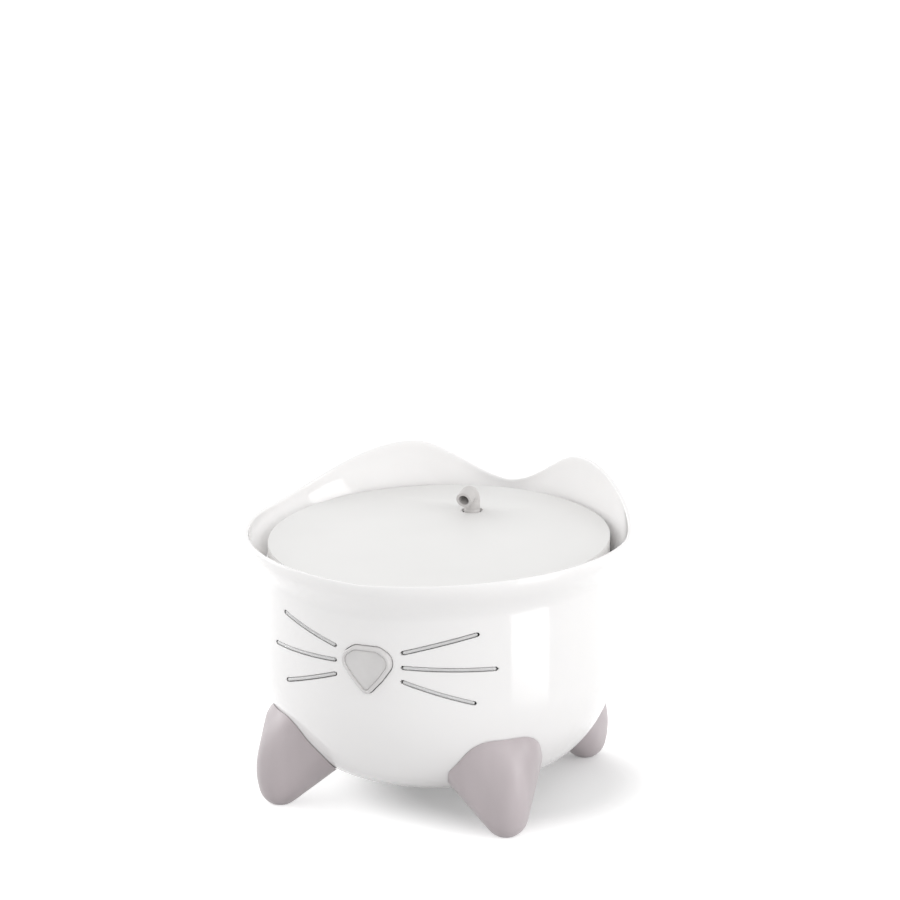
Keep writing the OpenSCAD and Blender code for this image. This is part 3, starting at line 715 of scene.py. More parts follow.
def settle(made: bpy.types.Object, body: str, slot: str, *nodes: str) -> None:
    """Sets a finished piece on its body in the place of its solids, and reports it.

    Args:
        made: The piece.
        body: Body that it moves with.
        slot: Slot of its finish; not used.
        *nodes: Names of the solids that it replaces.
    """
    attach(made, body)
    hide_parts(*nodes)
    if isinstance(made.data, bpy.types.Mesh):
        LOG.info("%s: %d faces", made.name, len(made.data.polygons))


def paint(node: str, material: bpy.types.Material) -> None:
    """Gives a solid that stays as it is its finish.

    Args:
        node: Name of the solid.
        material: Its finish.
    """
    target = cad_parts[node]
    target.data.materials.clear()
    target.data.materials.append(material)
    LOG.info("%s: painted", node)


def arc(cx: float, cy: float, r: float, start: float, end: float, steps: int) -> list[Flat]:
    """Points along an arc.

    Args:
        cx: First coordinate of its middle.
        cy: Second coordinate of its middle.
        r: Its radius.
        start: Angle of its start in degrees.
        end: Angle of its end in degrees.
        steps: Number of steps.

    Returns:
        The points.
    """
    turns = [math.radians(start + (end - start) * i / steps) for i in range(steps + 1)]
    return [(cx + r * math.cos(t), cy + r * math.sin(t)) for t in turns]


def hull_outline(circles: Sequence[Triple], steps: int = 180) -> list[Flat]:
    """Outline of a band stretched round several circles.

    Args:
        circles: Each circle as its middle's two coordinates and its radius.
        steps: Number of directions that are tried, and of points.

    Returns:
        Points of the outline, evenly spaced.
    """
    raw = []
    for i in range(steps):
        t = 2 * math.pi * i / steps
        n = (math.cos(t), math.sin(t))
        x, y, r = max(circles, key=lambda c: c[0] * n[0] + c[1] * n[1] + c[2])
        raw.append((x + r * n[0], y + r * n[1]))
    lengths = [0.0]
    for a, b in zip(raw, raw[1:] + raw[:1]):
        lengths.append(lengths[-1] + math.dist(a, b))
    out, k = [], 0
    for i in range(steps):
        want = lengths[-1] * i / steps
        while lengths[k + 1] < want:
            k += 1
        share = (want - lengths[k]) / max(1e-9, lengths[k + 1] - lengths[k])
        a, b = raw[k], raw[(k + 1) % steps]
        out.append((a[0] + share * (b[0] - a[0]), a[1] + share * (b[1] - a[1])))
    return out


def rounded_box(half_x: float, half_y: float, corner: float, steps: int) -> list[Flat]:
    """Outline of a box with round corners.

    Args:
        half_x: Half its width.
        half_y: Half its depth.
        corner: Radius of its corners.
        steps: Number of points.

    Returns:
        Points of the outline, evenly spaced.
    """
    x, y = half_x - corner, half_y - corner
    return hull_outline([(a * x, b * y, corner) for a in (-1, 1) for b in (-1, 1)], steps)


def shrink(outline: Sequence[Flat], by: float) -> list[Flat]:
    """Moves a convex outline inwards.

    Args:
        outline: Its points, anticlockwise.
        by: The distance.

    Returns:
        The moved points.
    """
    count = len(outline)
    out = []
    for i, (x, y) in enumerate(outline):
        before, after = outline[i - 1], outline[(i + 1) % count]
        dx, dy = after[0] - before[0], after[1] - before[1]
        size = math.hypot(dx, dy) or 1.0
        out.append((x - by * dy / size, y + by * dx / size))
    return out


def bar_tree() -> bpy.types.GeometryNodeTree:
    """Makes the node tree that turns lines into round bars.

    Returns:
        The tree.
    """
    tree = bpy.data.node_groups.new("bars_along_lines", "GeometryNodeTree")
    inputs = {"Lines": "Geometry", "Bar radius": "Float", "Sides": "Int", "Finish": "Material"}
    for name, kind in inputs.items():
        tree.interface.new_socket(name, in_out="INPUT", socket_type=f"NodeSocket{kind}")
    tree.interface.new_socket("Bars", in_out="OUTPUT", socket_type="NodeSocketGeometry")
    given = add_node(tree, "NodeGroupInput").outputs
    curve = add_node(tree, "GeometryNodeMeshToCurve", Mesh=given["Lines"]).outputs["Curve"]
    circle = add_node(
        tree, "GeometryNodeCurvePrimitiveCircle", Resolution=given["Sides"], Radius=given["Bar radius"]
    ).outputs["Curve"]
    scale = add_node(tree, "GeometryNodeInputNamedAttribute", Name="bar_scale")
    scale.data_type = "FLOAT"
    sweep = add_node(tree, "GeometryNodeCurveToMesh", Curve=curve, Profile_Curve=circle, Fill_Caps=True)
    tree.links.new(scale.outputs["Attribute"], sweep.inputs["Scale"])
    solid = add_node(tree, "GeometryNodeRealizeInstances", Geometry=sweep.outputs["Mesh"])
    finish = add_node(
        tree, "GeometryNodeSetMaterial", Geometry=solid.outputs["Geometry"], Material=given["Finish"]
    )
    add_node(tree, "NodeGroupOutput", Bars=finish.outputs["Geometry"])
    return tree


def apply_tree(made: bpy.types.Object, tree: bpy.types.GeometryNodeTree, values: dict[str, object]) -> None:
    """Runs a node tree on an object and keeps the result as a plain mesh.

    Args:
        made: The object.
        tree: The tree.
        values: Value of each named input.
    """
    modifier = made.modifiers.new("tree", "NODES")
    modifier.node_group = tree
    for item in tree.interface.items_tree:
        if item.in_out == "INPUT" and item.name in values:
            modifier[item.identifier] = values[item.name]
    Bench.bake(made)


@dataclass(frozen=True)
class Dressed:
    """A moulded piece that keeps its solid's shape, with its edges rounded."""

    node: str
    body: str
    slot: str
    rounding: float
    segments: int = 2
    same_moulding: tuple[str, ...] = ()

    @staticmethod
    def clean(mesh: bpy.types.Mesh, weld: float = 2e-6, flat_degrees: float = 1.0) -> None:
        """Merges doubles, and faces that lie in one plane.

        Args:
            mesh: The mesh.
            weld: Distance in metres below which points merge.
            flat_degrees: Angle below which two faces count as one plane.
        """
        work = bmesh.new()
        work.from_mesh(mesh)
        bmesh.ops.remove_doubles(work, verts=work.verts, dist=weld)
        angle = math.radians(flat_degrees)
        bmesh.ops.dissolve_limit(work, angle_limit=angle, verts=work.verts, edges=work.edges)
        work.to_mesh(mesh)
        work.free()

    @staticmethod
    def copy_of(node: str, material: bpy.types.Material) -> bpy.types.Object:
        """Makes an object with a copy of a solid's mesh.

        Args:
            node: Name of the solid.
            material: Finish of the copy.

        Returns:
            The object.
        """
        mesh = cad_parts[node].data.copy()
        mesh.materials.clear()
        mesh.materials.append(material)
        return Bench.put(f"{node}_piece", mesh)

    def build(self, material: bpy.types.Material) -> None:
        """Makes the piece from a copy of the solid, with the solids of the same moulding joined to it.

        Args:
            material: Its finish.
        """
        made = self.copy_of(self.node, material)
        for node in self.same_moulding:
            Bench.cut(made, self.copy_of(node, material), "UNION")
        self.clean(made.data)
        if self.rounding:
            Bench.round_edges(made, self.rounding, self.segments)
        Bench.smooth(made, 30)
        settle(made, self.body, self.slot, self.node, *self.same_moulding)


# ---------------------------------------------------------------- bowl


@dataclass
class Bowl:
    """The drinking bowl with its ears, nose, whiskers and feet."""

    finishes: Finishes
    side_r: float = 105.0
    wall: float = 2.5
    bottom_z: float = 15.0
    flat_r: float = 48.0
    side_z: float = 80.0
    rim_z: float = 152.0
    rim_rise: float = 8.5
    flare: float = 10.0
    flare_drop: float = 24.0
    ear_h: float = 25.5
    ear_angle: float = 148.0
    ear_front: float = 54.0
    ear_back: float = 34.0
    ear_tuck: float = 0.75
    columns: int = 360
    round_steps: int = 24
    straight_steps: int = 6
    flare_steps: int = 16
    lip_arc: tuple[float, float, int] = (15.0, 165.0, 6)

    # Back chamber, ribs and pump seat, which run a little way into the wall
    support_z: float = 134.0
    sunk: float = 1.2
    chamber_w: float = 91.0
    chamber_corner_r: float = 8.0
    chamber_edge_r: float = 1.2
    chamber_bottom_z: float = 20.0
    chamber_steps: int = 60
    chamber_bend: tuple[float, ...] = (0.0, 0.4, 0.8, 1.2, 1.57)
    rib_angle: float = 63.0
    rib_t: float = 4.0
    rib_depth: float = 8.0
    rib_corner_r: float = 1.2
    rib_bottom_z: float = 62.0
    rib_taper: float = 0.5
    top_edge: float = 0.6
    pump_size: Pair = (50.0, 31.0)
    outlet_from_end: float = 13.2
    seat_margin: float = 1.5
    seat_corner_r: float = 5.0
    seat_bottom_z: float = 17.0

    # Nose and whiskers. The nose is a band round circles at its brow, temples, sides and tip, with radii that
    # are shares of its width. The rim is given as insets and the crown as shares of the rim, each with a
    # depth under the front
    nose_z: float = 100.0
    nose_w: float = 31.0
    nose_h: float = 28.5
    nose_rounds: tuple[float, ...] = (0.4, 0.27, 0.255, 0.15)
    temple_share: float = 0.168
    cheek_share: float = 0.33
    nose_proud: float = 3.0
    nose_gap: float = 0.45
    nose_back: float = 0.2
    nose_rim: tuple[Pair, ...] = (
        (0.0, 1.5), (0.15, 0.9), (0.5, 0.35), (1.0, 0.05), (1.5, 0.0),
        (1.9, 0.1), (2.1, 0.4), (2.2, 1.2), (2.45, 1.2), (2.55, 0.85),
    )
    nose_crown: tuple[Pair, ...] = ((0.96, 0.75), (0.75, 0.68), (0.5, 0.6), (0.25, 0.56))
    crown_rise: float = 1.0
    whisker_w: float = 2.7
    whisker_gap: float = 0.4
    whisker_depth: float = 0.85
    whisker_sides: int = 20
    whisker_tip: float = 0.03
    whisker_ends: tuple[tuple[Flat, Flat], ...] = (
        ((11.4, 11.3), (34.5, 22.2)),
        ((11.4, 2.7), (40.5, 1.2)),
        ((11.4, -5.6), (33.6, -18.2)),
    )
    cut_depths: Pair = (-125.0, -60.0)
    cut_steps: tuple[int, int] = (40, 240)

    # Feet. The shares are of the foot's width, the bowl's radius, the foot's height and its width again
    foot_angles: tuple[tuple[str, float], ...] = (
        ("front_left", -45.0), ("front_right", 45.0), ("back_left", -140.0), ("back_right", 140.0),
    )
    foot_w: float = 59.5
    foot_h: float = 62.0
    foot_spare: float = 0.5
    foot_gap: float = 0.35
    under_foot: tuple[Flat, ...] = ((-60.0, -130.0), (60.0, -130.0), (60.0, -40.0), (-60.0, -40.0))
    under_depth: float = 20.0
    tread_r: float = 101.0
    toe_r: float = 12.5
    tread: float = 5.0
    edge_share: tuple[float, ...] = (0.19, 0.91, 0.25, 0.094)
    side_share: tuple[float, ...] = (0.32, 0.783, 0.62, 0.18)
    shin_share: tuple[float, ...] = (0.0, 1.0, 0.44, 0.222)
    inner_share: tuple[float, ...] = (0.25, 0.742, 0.56, 0.222)
    top_share: Pair = (0.85, 0.286)
    crown_share: float = 0.13
    skin_cell: float = 1.3
    skin_smoothing: tuple[float, int] = (0.6, 12)

    def ears(self, t: float) -> float:
        """Height that the ears add to the rim.

        Args:
            t: Angle from the nose in degrees.

        Returns:
            Share of an ear's height.
        """
        a = abs(t)

        def one(b: float) -> float:
            """Share that one ear has at an angle."""
            spread = self.ear_front if b < self.ear_angle else self.ear_back
            off = abs(b - self.ear_angle)
            return 0.0 if off >= spread else math.cos(math.radians(90 * off / spread)) ** 2

        return one(a) + one(360 - a)

    def lower_side(self, inset: float, steps: int) -> list[Flat]:
        """Round lower part of the bowl's side, a distance inside its surface.

        Args:
            inset: The distance.
            steps: Number of steps.

        Returns:
            Points as radius and height.
        """
        across = self.side_r - inset - self.flat_r
        down = self.side_z - self.bottom_z - inset
        turns = [math.radians(90 * i / steps) for i in range(steps + 1)]
        return [(self.flat_r + across * math.sin(a), self.side_z - down * math.cos(a)) for a in turns]

    def section(self, t: float) -> list[Flat]:
        """Section of the wall at an angle, from the underside over the rim to the inside.

        Args:
            t: Angle from the nose in degrees.

        Returns:
            Points as radius and height.
        """
        plain = self.rim_z + self.rim_rise * math.sin(math.radians(abs(t) / 2))
        start = plain - self.flare_drop
        half = self.wall / 2
        rise = plain + self.ear_h * self.ears(t) - half - start
        out = self.flare * (1 - self.ear_tuck * self.ears(t))

        def side(inset: float) -> list[Flat]:
            """Lists the section of the wall below the rim.

            Args:
                inset: Distance inside the outer surface.

            Returns:
                Points as radius and height.
            """
            r = self.side_r - inset
            rows = self.lower_side(inset, self.round_steps)
            step = (start - self.side_z) / self.straight_steps
            rows += [(r, self.side_z + step * i) for i in range(1, self.straight_steps)]
            shares = [j / self.flare_steps for j in range(self.flare_steps + 1)]
            return rows + [(r + out * (1 - math.cos(math.pi * u)) / 2, start + rise * u) for u in shares]

        over = arc(self.side_r + out - half, start + rise, half, *self.lip_arc)
        return side(0) + over + list(reversed(side(self.wall)))

    def build_wall(self, material: bpy.types.Material) -> bpy.types.Object:
        """Makes the wall.

        Args:
            material: Its finish.

        Returns:
            The object.
        """
        rows = []
        for c in range(self.columns):
            t = 360 * c / self.columns - 180
            a = math.radians(t)
            rows.append([(r * math.sin(a), -r * math.cos(a), z) for r, z in self.section(t)])
        return Bench.loft("bowl_wall", list(zip(*rows)), material)

    def nose_outline(self, grow: float) -> list[Flat]:
        """Outlines the nose as a band round six circles.

        Args:
            grow: Distance by which it is larger than the opening.

        Returns:
            Points as width and height.
        """
        top = self.nose_z + self.nose_h / 2
        brow, temple, side, tip = (share * self.nose_w for share in self.nose_rounds)
        circles = [(0, top - brow, brow + grow), (0, top - self.nose_h + tip, tip + grow)]
        for s in (-1, 1):
            circles.append((s * self.temple_share * self.nose_w, top - temple, temple + grow))
            circles.append((s * (self.nose_w / 2 - side), top - self.cheek_share * self.nose_h, side + grow))
        return hull_outline(circles)

    def cutter(self, name: str, outline: Sequence[Flat], material: bpy.types.Material) -> bpy.types.Object:
        """Stands an outline upright and runs it through the front of the bowl."""
        return Bench.loft(name, [[(x, y, z) for x, z in outline] for y in self.cut_depths], material)

    def whisker_line(self, ends: tuple[Flat, Flat], side: int, radius: float, count: int) -> list[Point]:
        """Points along the middle of a whisker.

        Args:
            ends: Its two ends, as angle from the nose and height above the nose.
            side: -1 for the left or 1 for the right.
            radius: Distance of the line from the bowl's axis.
            count: Number of points.

        Returns:
            The points.
        """
        (a, za), (b, zb) = ends
        xa, xb = (self.side_r * math.sin(math.radians(t)) for t in (a, b))
        line = []
        for i in range(count):
            u = i / (count - 1)
            x = xa + (xb - xa) * u
            line.append((side * x, -math.sqrt(radius * radius - x * x), self.nose_z + za + (zb - za) * u))
        return line

    def build_chamber(self, material: bpy.types.Material) -> bpy.types.Object:
        """Makes the back chamber, a block with round upper corners.

        Args:
            material: Its finish.

        Returns:
            The object.
        """
        inner, half = self.side_r - self.wall, self.chamber_w / 2
        corner_r, edge_r = self.chamber_corner_r, self.chamber_edge_r
        face = math.sqrt(inner**2 - half**2)
        rings = []
        for i in range(self.chamber_steps + 1):
            x = -half + self.chamber_w * i / self.chamber_steps
            corner = max(0.0, abs(x) - (half - corner_r))
            top = self.support_z - corner_r + math.sqrt(max(0.0, corner_r**2 - corner**2))
            back = math.sqrt((inner + self.sunk) ** 2 - x * x)
            bend = [
                (x, face + edge_r * (1 - math.cos(a)), top - edge_r * (1 - math.sin(a)))
                for a in self.chamber_bend
            ]
            low = self.chamber_bottom_z
            rings.append([(x, face, low), *bend, (x, back, top), (x, back, low)])
        return Bench.loft("chamber", rings, material)

    def build_rib(self, side: int, material: bpy.types.Material) -> bpy.types.Object:
        """Makes one of the two ribs that carry the tray.

        Args:
            side: -1 for the left or 1 for the right.
            material: Its finish.

        Returns:
            The object.
        """
        inner, half, r = self.side_r - self.wall, self.rib_t / 2, self.rib_corner_r
        off, tip = half - r, -inner + self.rib_depth - r
        outline = [
            (-half, -inner - self.sunk), *arc(-off, tip, r, 180, 90, 5), *arc(off, tip, r, 90, 0, 5),
            (half, -inner - self.sunk),
        ]
        turn = Matrix.Rotation(math.radians(180 + side * self.rib_angle), 3, "Z")
        top = self.support_z
        rings = []
        for z, inset in ((self.rib_bottom_z, 0.0), (top - self.top_edge, 0.0), (top, self.rib_taper)):
            level = [(x * (1 - inset / 2), y - inset * (y > -inner), z) for x, y in outline]
            rings.append([tuple(turn @ Vector(p)) for p in level])
        return Bench.loft(f"rib_{side}", rings, material)

    def build_seat(self, material: bpy.types.Material) -> bpy.types.Object:
        """Makes the pump's seat, a low block under the pump with a margin round it.

        Args:
            material: Its finish.

        Returns:
            The object.
        """
        to_middle = self.outlet_from_end - self.pump_size[0] / 2
        seat = Matrix.Translation((0, OUTLET_Y, 0))
        seat @= Matrix.Rotation(math.radians(PUMP_TURN), 4, "Z") @ Matrix.Translation((to_middle, 0, 0))
        half_x, half_y = (size / 2 + self.seat_margin for size in self.pump_size)
        box = rounded_box(half_x, half_y, self.seat_corner_r, 96)
        levels = ((self.seat_bottom_z, 0.0), (SEAT_Z - self.top_edge, 0.0), (SEAT_Z, self.top_edge))
        rings = [[tuple(seat @ Vector((x, y, z))) for x, y in shrink(box, inset)] for z, inset in levels]
        return Bench.loft("pump_seat", rings, material)

    def turned(self, name: str, inset: float, top: float, material: bpy.types.Material) -> bpy.types.Object:
        """Makes a solid of the bowl's lower part.

        Args:
            name: Name of the solid.
            inset: Distance inside the bowl's outer surface.
            top: Height of its flat top.
            material: Its finish.

        Returns:
            The object.
        """
        rows, columns = self.cut_steps
        side = [*self.lower_side(inset, rows), (self.side_r - inset, top)]
        turns = [2 * math.pi * k / columns for k in range(columns)]
        rings = [[(r * math.cos(b), r * math.sin(b), z) for b in turns] for r, z in side]
        return Bench.loft(name, rings, material)

    def build_shell(self) -> None:
        """Makes the bowl with its openings for the nose and the whiskers, and what stands in it."""
        material = self.finishes.bowl.build()
        bowl = self.build_wall(material)
        Bench.cut(bowl, self.cutter("nose_cut", self.nose_outline(0), material))
        for s in (-1, 1):
            for i, ends in enumerate(self.whisker_ends):
                line = self.whisker_line(ends, s, self.side_r, 2)
                outline = hull_outline([(x, z, self.whisker_w / 2) for x, _, z in line], 60)
                Bench.cut(bowl, self.cutter(f"whisker_cut_{s}_{i}", outline, material))
        ribs = [self.build_rib(s, material) for s in (-1, 1)]
        works = [self.build_chamber(material), *ribs, self.build_seat(material)]
        for part in works:
            Bench.cut(part, self.turned("inside", self.sunk, self.support_z + 1, material), "INTERSECT")
        whole = Bench.join("bowl", [bowl, *works])
        Bench.smooth(whole, 32)
        settle(whole, "bowl", "bowl_white", "bowl_shell")

    def build_nose(self) -> None:
        """Makes the nose: a raised rim round a lower, slightly crowned face."""
        front = self.side_r + self.nose_proud
        outline = self.nose_outline(-self.nose_gap)
        rim = [(0.0, self.side_r - self.wall + self.nose_back)]
        rim += [(inset, front - depth) for inset, depth in self.nose_rim]
        rings = [[(x, -y, z) for x, z in shrink(outline, inset)] for inset, y in rim]
        edge = rings[-1]
        middle = self.nose_z + self.crown_rise
        for share, depth in self.nose_crown:
            rings.append([(x * share, depth - front, middle + (z - middle) * share) for x, _, z in edge])
        nose = Bench.loft("nose", rings, self.finishes.nose.build())
        Bench.smooth(nose, 40)
        settle(nose, "bowl", "window_grey", "nose_lens")

    def bar_lines(self, name: str, side: int, count: int = 49) -> bpy.types.Mesh:
        """Makes the middle lines of one side's whiskers, with the bars' scale at each point.

        The points gather at the ends, where a bar is round.

        Args:
            name: Name of the mesh.
            side: -1 for the left or 1 for the right.
            count: Number of points along each whisker.

        Returns:
            The mesh.
        """
        points: list[Point] = []
        edges: list[tuple[int, int]] = []
        scales: list[float] = []
        last = count - 1
        for ends in self.whisker_ends:
            line = self.whisker_line(ends, side, self.side_r - self.whisker_depth, count)
            length = math.dist(line[0], line[-1])
            first = len(points)
            for i in range(count):
                u = 0.5 - 0.5 * math.cos(math.pi * i / last)
                k = min(last - 1, int(u * last))
                w = u * last - k
                points.append(tuple((a + w * (b - a)) * MM for a, b in zip(line[k], line[k + 1])))
                depth = min(u, 1 - u) * length / (self.whisker_w / 2)
                scales.append(max(self.whisker_tip, math.sqrt(1 - max(0.0, 1 - depth) ** 2)))
            edges += [(first + i, first + i + 1) for i in range(last)]
        mesh = bpy.data.meshes.new(name)
        mesh.from_pydata(points, edges, [])
        mesh.attributes.new("bar_scale", "FLOAT", "POINT").data.foreach_set("value", scales)
        return mesh

    def build_whiskers(self) -> None:
        """Makes the whiskers as round bars that follow the bowl's side."""
        tree = bar_tree()
        sizes = {
            "Bar radius": (self.whisker_w / 2 - self.whisker_gap) * MM,
            "Sides": self.whisker_sides,
            "Finish": self.finishes.whisker.build(),
        }
        for s, side in ((-1, "left"), (1, "right")):
            made = Bench.put(f"whisker_bars_{side}", self.bar_lines(f"whiskers_{side}_bars", s))
            apply_tree(made, tree, sizes)
            Bench.outward(made)
            Bench.smooth(made, 60)
            settle(made, "bowl", "window_grey", f"whiskers_{side}")

    def foot_balls(self) -> list[Vector]:
        """Lists the balls that a foot's form is stretched over.

        Returns:
            Each ball as (across, forward, up, radius).
        """
        w, h = self.foot_w, self.foot_h
        scale = (w, self.side_r, h, w)
        shares = (self.edge_share, self.side_share, self.shin_share, self.inner_share)
        edge, side, shin, inner = (Vector([a * b for a, b in zip(share, scale)]) for share in shares)
        toe = Vector((0, self.tread_r, math.sqrt(self.toe_r**2 - self.tread**2), self.toe_r))
        top_r = self.top_share[1] * w
        top = Vector((0, self.top_share[0] * self.side_r, h - top_r, top_r))
        crown = top + Vector((self.crown_share * w, 0, 0, 0))

        def between(a: Vector, b: Vector, c: Vector, u: float) -> Vector:
            """Ball on the curve from a towards b and on to c."""
            return (1 - u) ** 2 * a + 2 * u * (1 - u) * b + u * u * c

        half = [crown, inner, *(between(toe, edge, side, i / 12) for i in range(13))]
        both = [Vector((s * x, y, z, r)) for x, y, z, r in half for s in (-1, 1)]
        return [*both, *(between(toe, shin, top, i / 8) for i in range(1, 8))]

    def foot_blank(self, material: bpy.types.Material) -> bpy.types.Object:
        """Makes one foot that faces the nose, cut out where it meets the bowl and flat underneath.

        Args:
            material: Its finish.

        Returns:
            The object.
        """
        form = bmesh.new()
        for x, y, z, r in self.foot_balls():
            place = Matrix.Translation((x * MM, -y * MM, z * MM))
            size = (r + self.foot_spare) * MM
            bmesh.ops.create_uvsphere(form, u_segments=40, v_segments=20, radius=size, matrix=place)
        hull = bmesh.ops.convex_hull(form, input=form.verts)
        bmesh.ops.delete(form, geom=list({*hull["geom_interior"], *hull["geom_unused"]}), context="VERTS")
        mesh = bpy.data.meshes.new("foot_form")
        form.to_mesh(mesh)
        form.free()
        mesh.materials.append(material)
        foot = Bench.put("foot_form", mesh)
        Bench.outward(foot, 1e-5)
        even = foot.modifiers.new("even", "REMESH")
        even.mode = "VOXEL"
        even.voxel_size = self.skin_cell * MM
        soft = foot.modifiers.new("soft", "SMOOTH")
        soft.factor, soft.iterations = self.skin_smoothing
        Bench.bake(foot)
        Bench.cut(foot, self.turned("bowl_cut", -self.foot_gap, self.side_z + 10, material))
        floor = [[(x, y, z) for x, y in self.under_foot] for z in (-self.under_depth, 0.0)]
        Bench.cut(foot, Bench.loft("floor_cut", floor, material))
        Bench.round_edges(foot, 0.5, 2, 50)
        Bench.smooth(foot, 50)
        return foot

    def build_feet(self) -> None:
        """Makes the four feet by turning copies of one into place."""
        first = self.foot_blank(self.finishes.foot.build())
        for place, angle in self.foot_angles:
            mesh = first.data.copy()
            mesh.transform(Matrix.Rotation(math.radians(angle), 4, "Z"))
            settle(Bench.put(f"foot_{place}_skin", mesh), "bowl", "foot_taupe", f"foot_{place}")
        bpy.data.objects.remove(first)

    def build(self) -> None:
        """Makes the bowl and all that is fixed to it."""
        self.build_shell()
        self.build_nose()
        self.build_whiskers()
        self.build_feet()


# ---------------------------------------------------------------- pump and tube


@dataclass
class Pump:
    """The pump with its lead, whose route is given from gland to gland in the pump's own frame."""

    finishes: Finishes
    lead_d: float = 1.8
    lead_steps: int = 3
    lead_route: tuple[Point, ...] = (
        (-36.8, 12, 23), (-39.3, 12, 23), (-41.5, 12, 23.1), (-44, 11.9, 23.1), (-46.5, 11.8, 22.9),
        (-49, 11.6, 22.4), (-51.3, 11.5, 21.6), (-53.2, 11.4, 20.5), (-54.2, 11.3, 19.2), (-54, 11.2, 17.9),
        (-52.6, 11.1, 16.8), (-50.4, 11, 15.9), (-47.8, 11, 15), (-45.2, 11, 14.2), (-42.6, 11, 13.5),
        (-40.6, 11, 13.1), (-39.3, 11, 13), (-36.8, 11, 13),
    )

    def place(self, x: float, y: float, z: float) -> Point:
        """Turns a point of the pump's own frame into one of the model."""
        c, s = math.cos(math.radians(PUMP_TURN)), math.sin(math.radians(PUMP_TURN))
        return (x * c - y * s, OUTLET_Y + x * s + y * c, SEAT_Z + z)

    def fine_route(self) -> list[Point]:
        """Smooths the lead's route with extra points in each step.

        Returns:
            Points in the pump's own frame.
        """
        route = [Vector(p) for p in self.lead_route]
        last = len(route) - 1
        fine: list[Point] = []
        for i in range(last):
            a, b, c, d = (route[min(max(k, 0), last)] for k in range(i - 1, i + 3))
            for k in range(self.lead_steps):
                t = k / self.lead_steps
                bend = (2 * a - 5 * b + 4 * c - d) * t * t + (3 * b - a - 3 * c + d) * t**3
                fine.append(tuple(0.5 * (2 * b + (c - a) * t + bend)))
        return [*fine, tuple(route[-1])]

    def build_lead(self) -> None:
        """Makes the lead as a curve from one gland to the other."""
        curve = bpy.data.curves.new("lead", "CURVE")
        curve.dimensions = "3D"
        curve.bevel_depth = self.lead_d / 2 * MM
        curve.bevel_resolution = 6
        curve.use_fill_caps = True
        points = [Vector(self.place(*p)) * MM for p in self.fine_route()]
        line = curve.splines.new("POLY")
        line.points.add(len(points) - 1)
        for spot, p in zip(line.points, points):
            spot.co = (*p, 1)
        curve.materials.append(self.finishes.lead.build())
        lead = Bench.put("lead", curve)
        settle(lead, "pump", "lead_grey", "pump_lead")

    def build(self) -> None:
        """Makes and dresses the pump."""
        self.build_lead()
        white = self.finishes.pump.build()
        Dressed("pump_housing", "pump", "pump_white", rounding=0.3, segments=3).build(white)
        Dressed("intake_cover", "pump", "pump_white", rounding=0.25).build(white)
        Dressed("speed_knob", "knob", "pump_white", rounding=0.5, segments=3).build(white)
        Dressed("lead_gland", "pump", "pump_white", rounding=0.15).build(white)
        Dressed("lamp_lens", "pump", "lamp_red", rounding=0.0).build(self.finishes.lamp.build())
        paint("impeller", self.finishes.rotor.build())
        paint("rotor_magnet", self.finishes.magnet.build())
        paint("impeller_shaft", self.finishes.shaft.build())
        paint("motor_stator", self.finishes.winding.build())


@dataclass
class Tube:
    """The clear riser tube, with rounded lips."""

    finishes: Finishes
    wall: float = 1.5
    lip: float = 0.4

    def build(self) -> None:
        """Makes and dresses the tube, as long and wide as its solid."""
        corners = [vertex.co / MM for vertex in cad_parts["riser_tube"].data.vertices]
        r = self.lip
        low, high = min(p.z for p in corners) + r, max(p.z for p in corners) - r
        outer = max(p.x for p in corners)
        inner = outer - self.wall
        profile = [
            *arc(outer - r, low, r, -90, 0, 5), *arc(outer - r, high, r, 0, 90, 5),
            *arc(inner + r, high, r, 90, 180, 5), *arc(inner + r, low, r, 180, 270, 5),
        ]
        material = self.finishes.tube.build()
        tube = Bench.lathe("tube", profile, lambda x, y, z: (x, OUTLET_Y + y, z), material)
        Bench.smooth(tube, 50)
        settle(tube, "tube", "tube_clear", "riser_tube")


# ---------------------------------------------------------------- tray, cover and spout


@dataclass
class Tray:
    """The tray, one moulding with its filter pocket and handle, and the cap of its nozzle."""

    finishes: Finishes
    edge: float = 0.5
    cap_edge: float = 0.4
    same_moulding: tuple[str, ...] = ("filter_basket", "tray_handle")

    def build(self) -> None:
        """Makes and dresses the tray."""
        white = self.finishes.tray.build()
        Dressed("water_tray", "tray", "tray_white", self.edge, 3, self.same_moulding).build(white)
        Dressed("nozzle_cap", "tray", "tray_white", self.cap_edge, 3).build(white)


@dataclass
class Seals:
    """The two soft seals, one in the nozzle and one on the spout, which stay as their solids are."""

    finishes: Finishes
    nodes: tuple[str, ...] = ("nozzle_seal", "spout_seal")

    def build(self) -> None:
        """Gives the seals their finish."""
        grey = self.finishes.seal.build()
        for node in self.nodes:
            paint(node, grey)


@dataclass
class Cover:
    """The sloping cover."""

    finishes: Finishes
    edge: float = 0.5

    def build(self) -> None:
        """Makes and dresses the cover."""
        Dressed("top_cover", "cover", "cover_white", self.edge, 3).build(self.finishes.cover.build())


@dataclass
class Spout:
    """The spout's collar and its turning elbow."""

    finishes: Finishes
    collar_edge: float = 0.2
    elbow_edge: float = 0.25

    def build(self) -> None:
        """Makes and dresses the spout."""
        Dressed("spout_collar", "spout", "spout_white", self.collar_edge).build(self.finishes.collar.build())
        Dressed("spout_elbow", "elbow", "spout_grey", self.elbow_edge).build(self.finishes.elbow.build())


# ---------------------------------------------------------------- filter


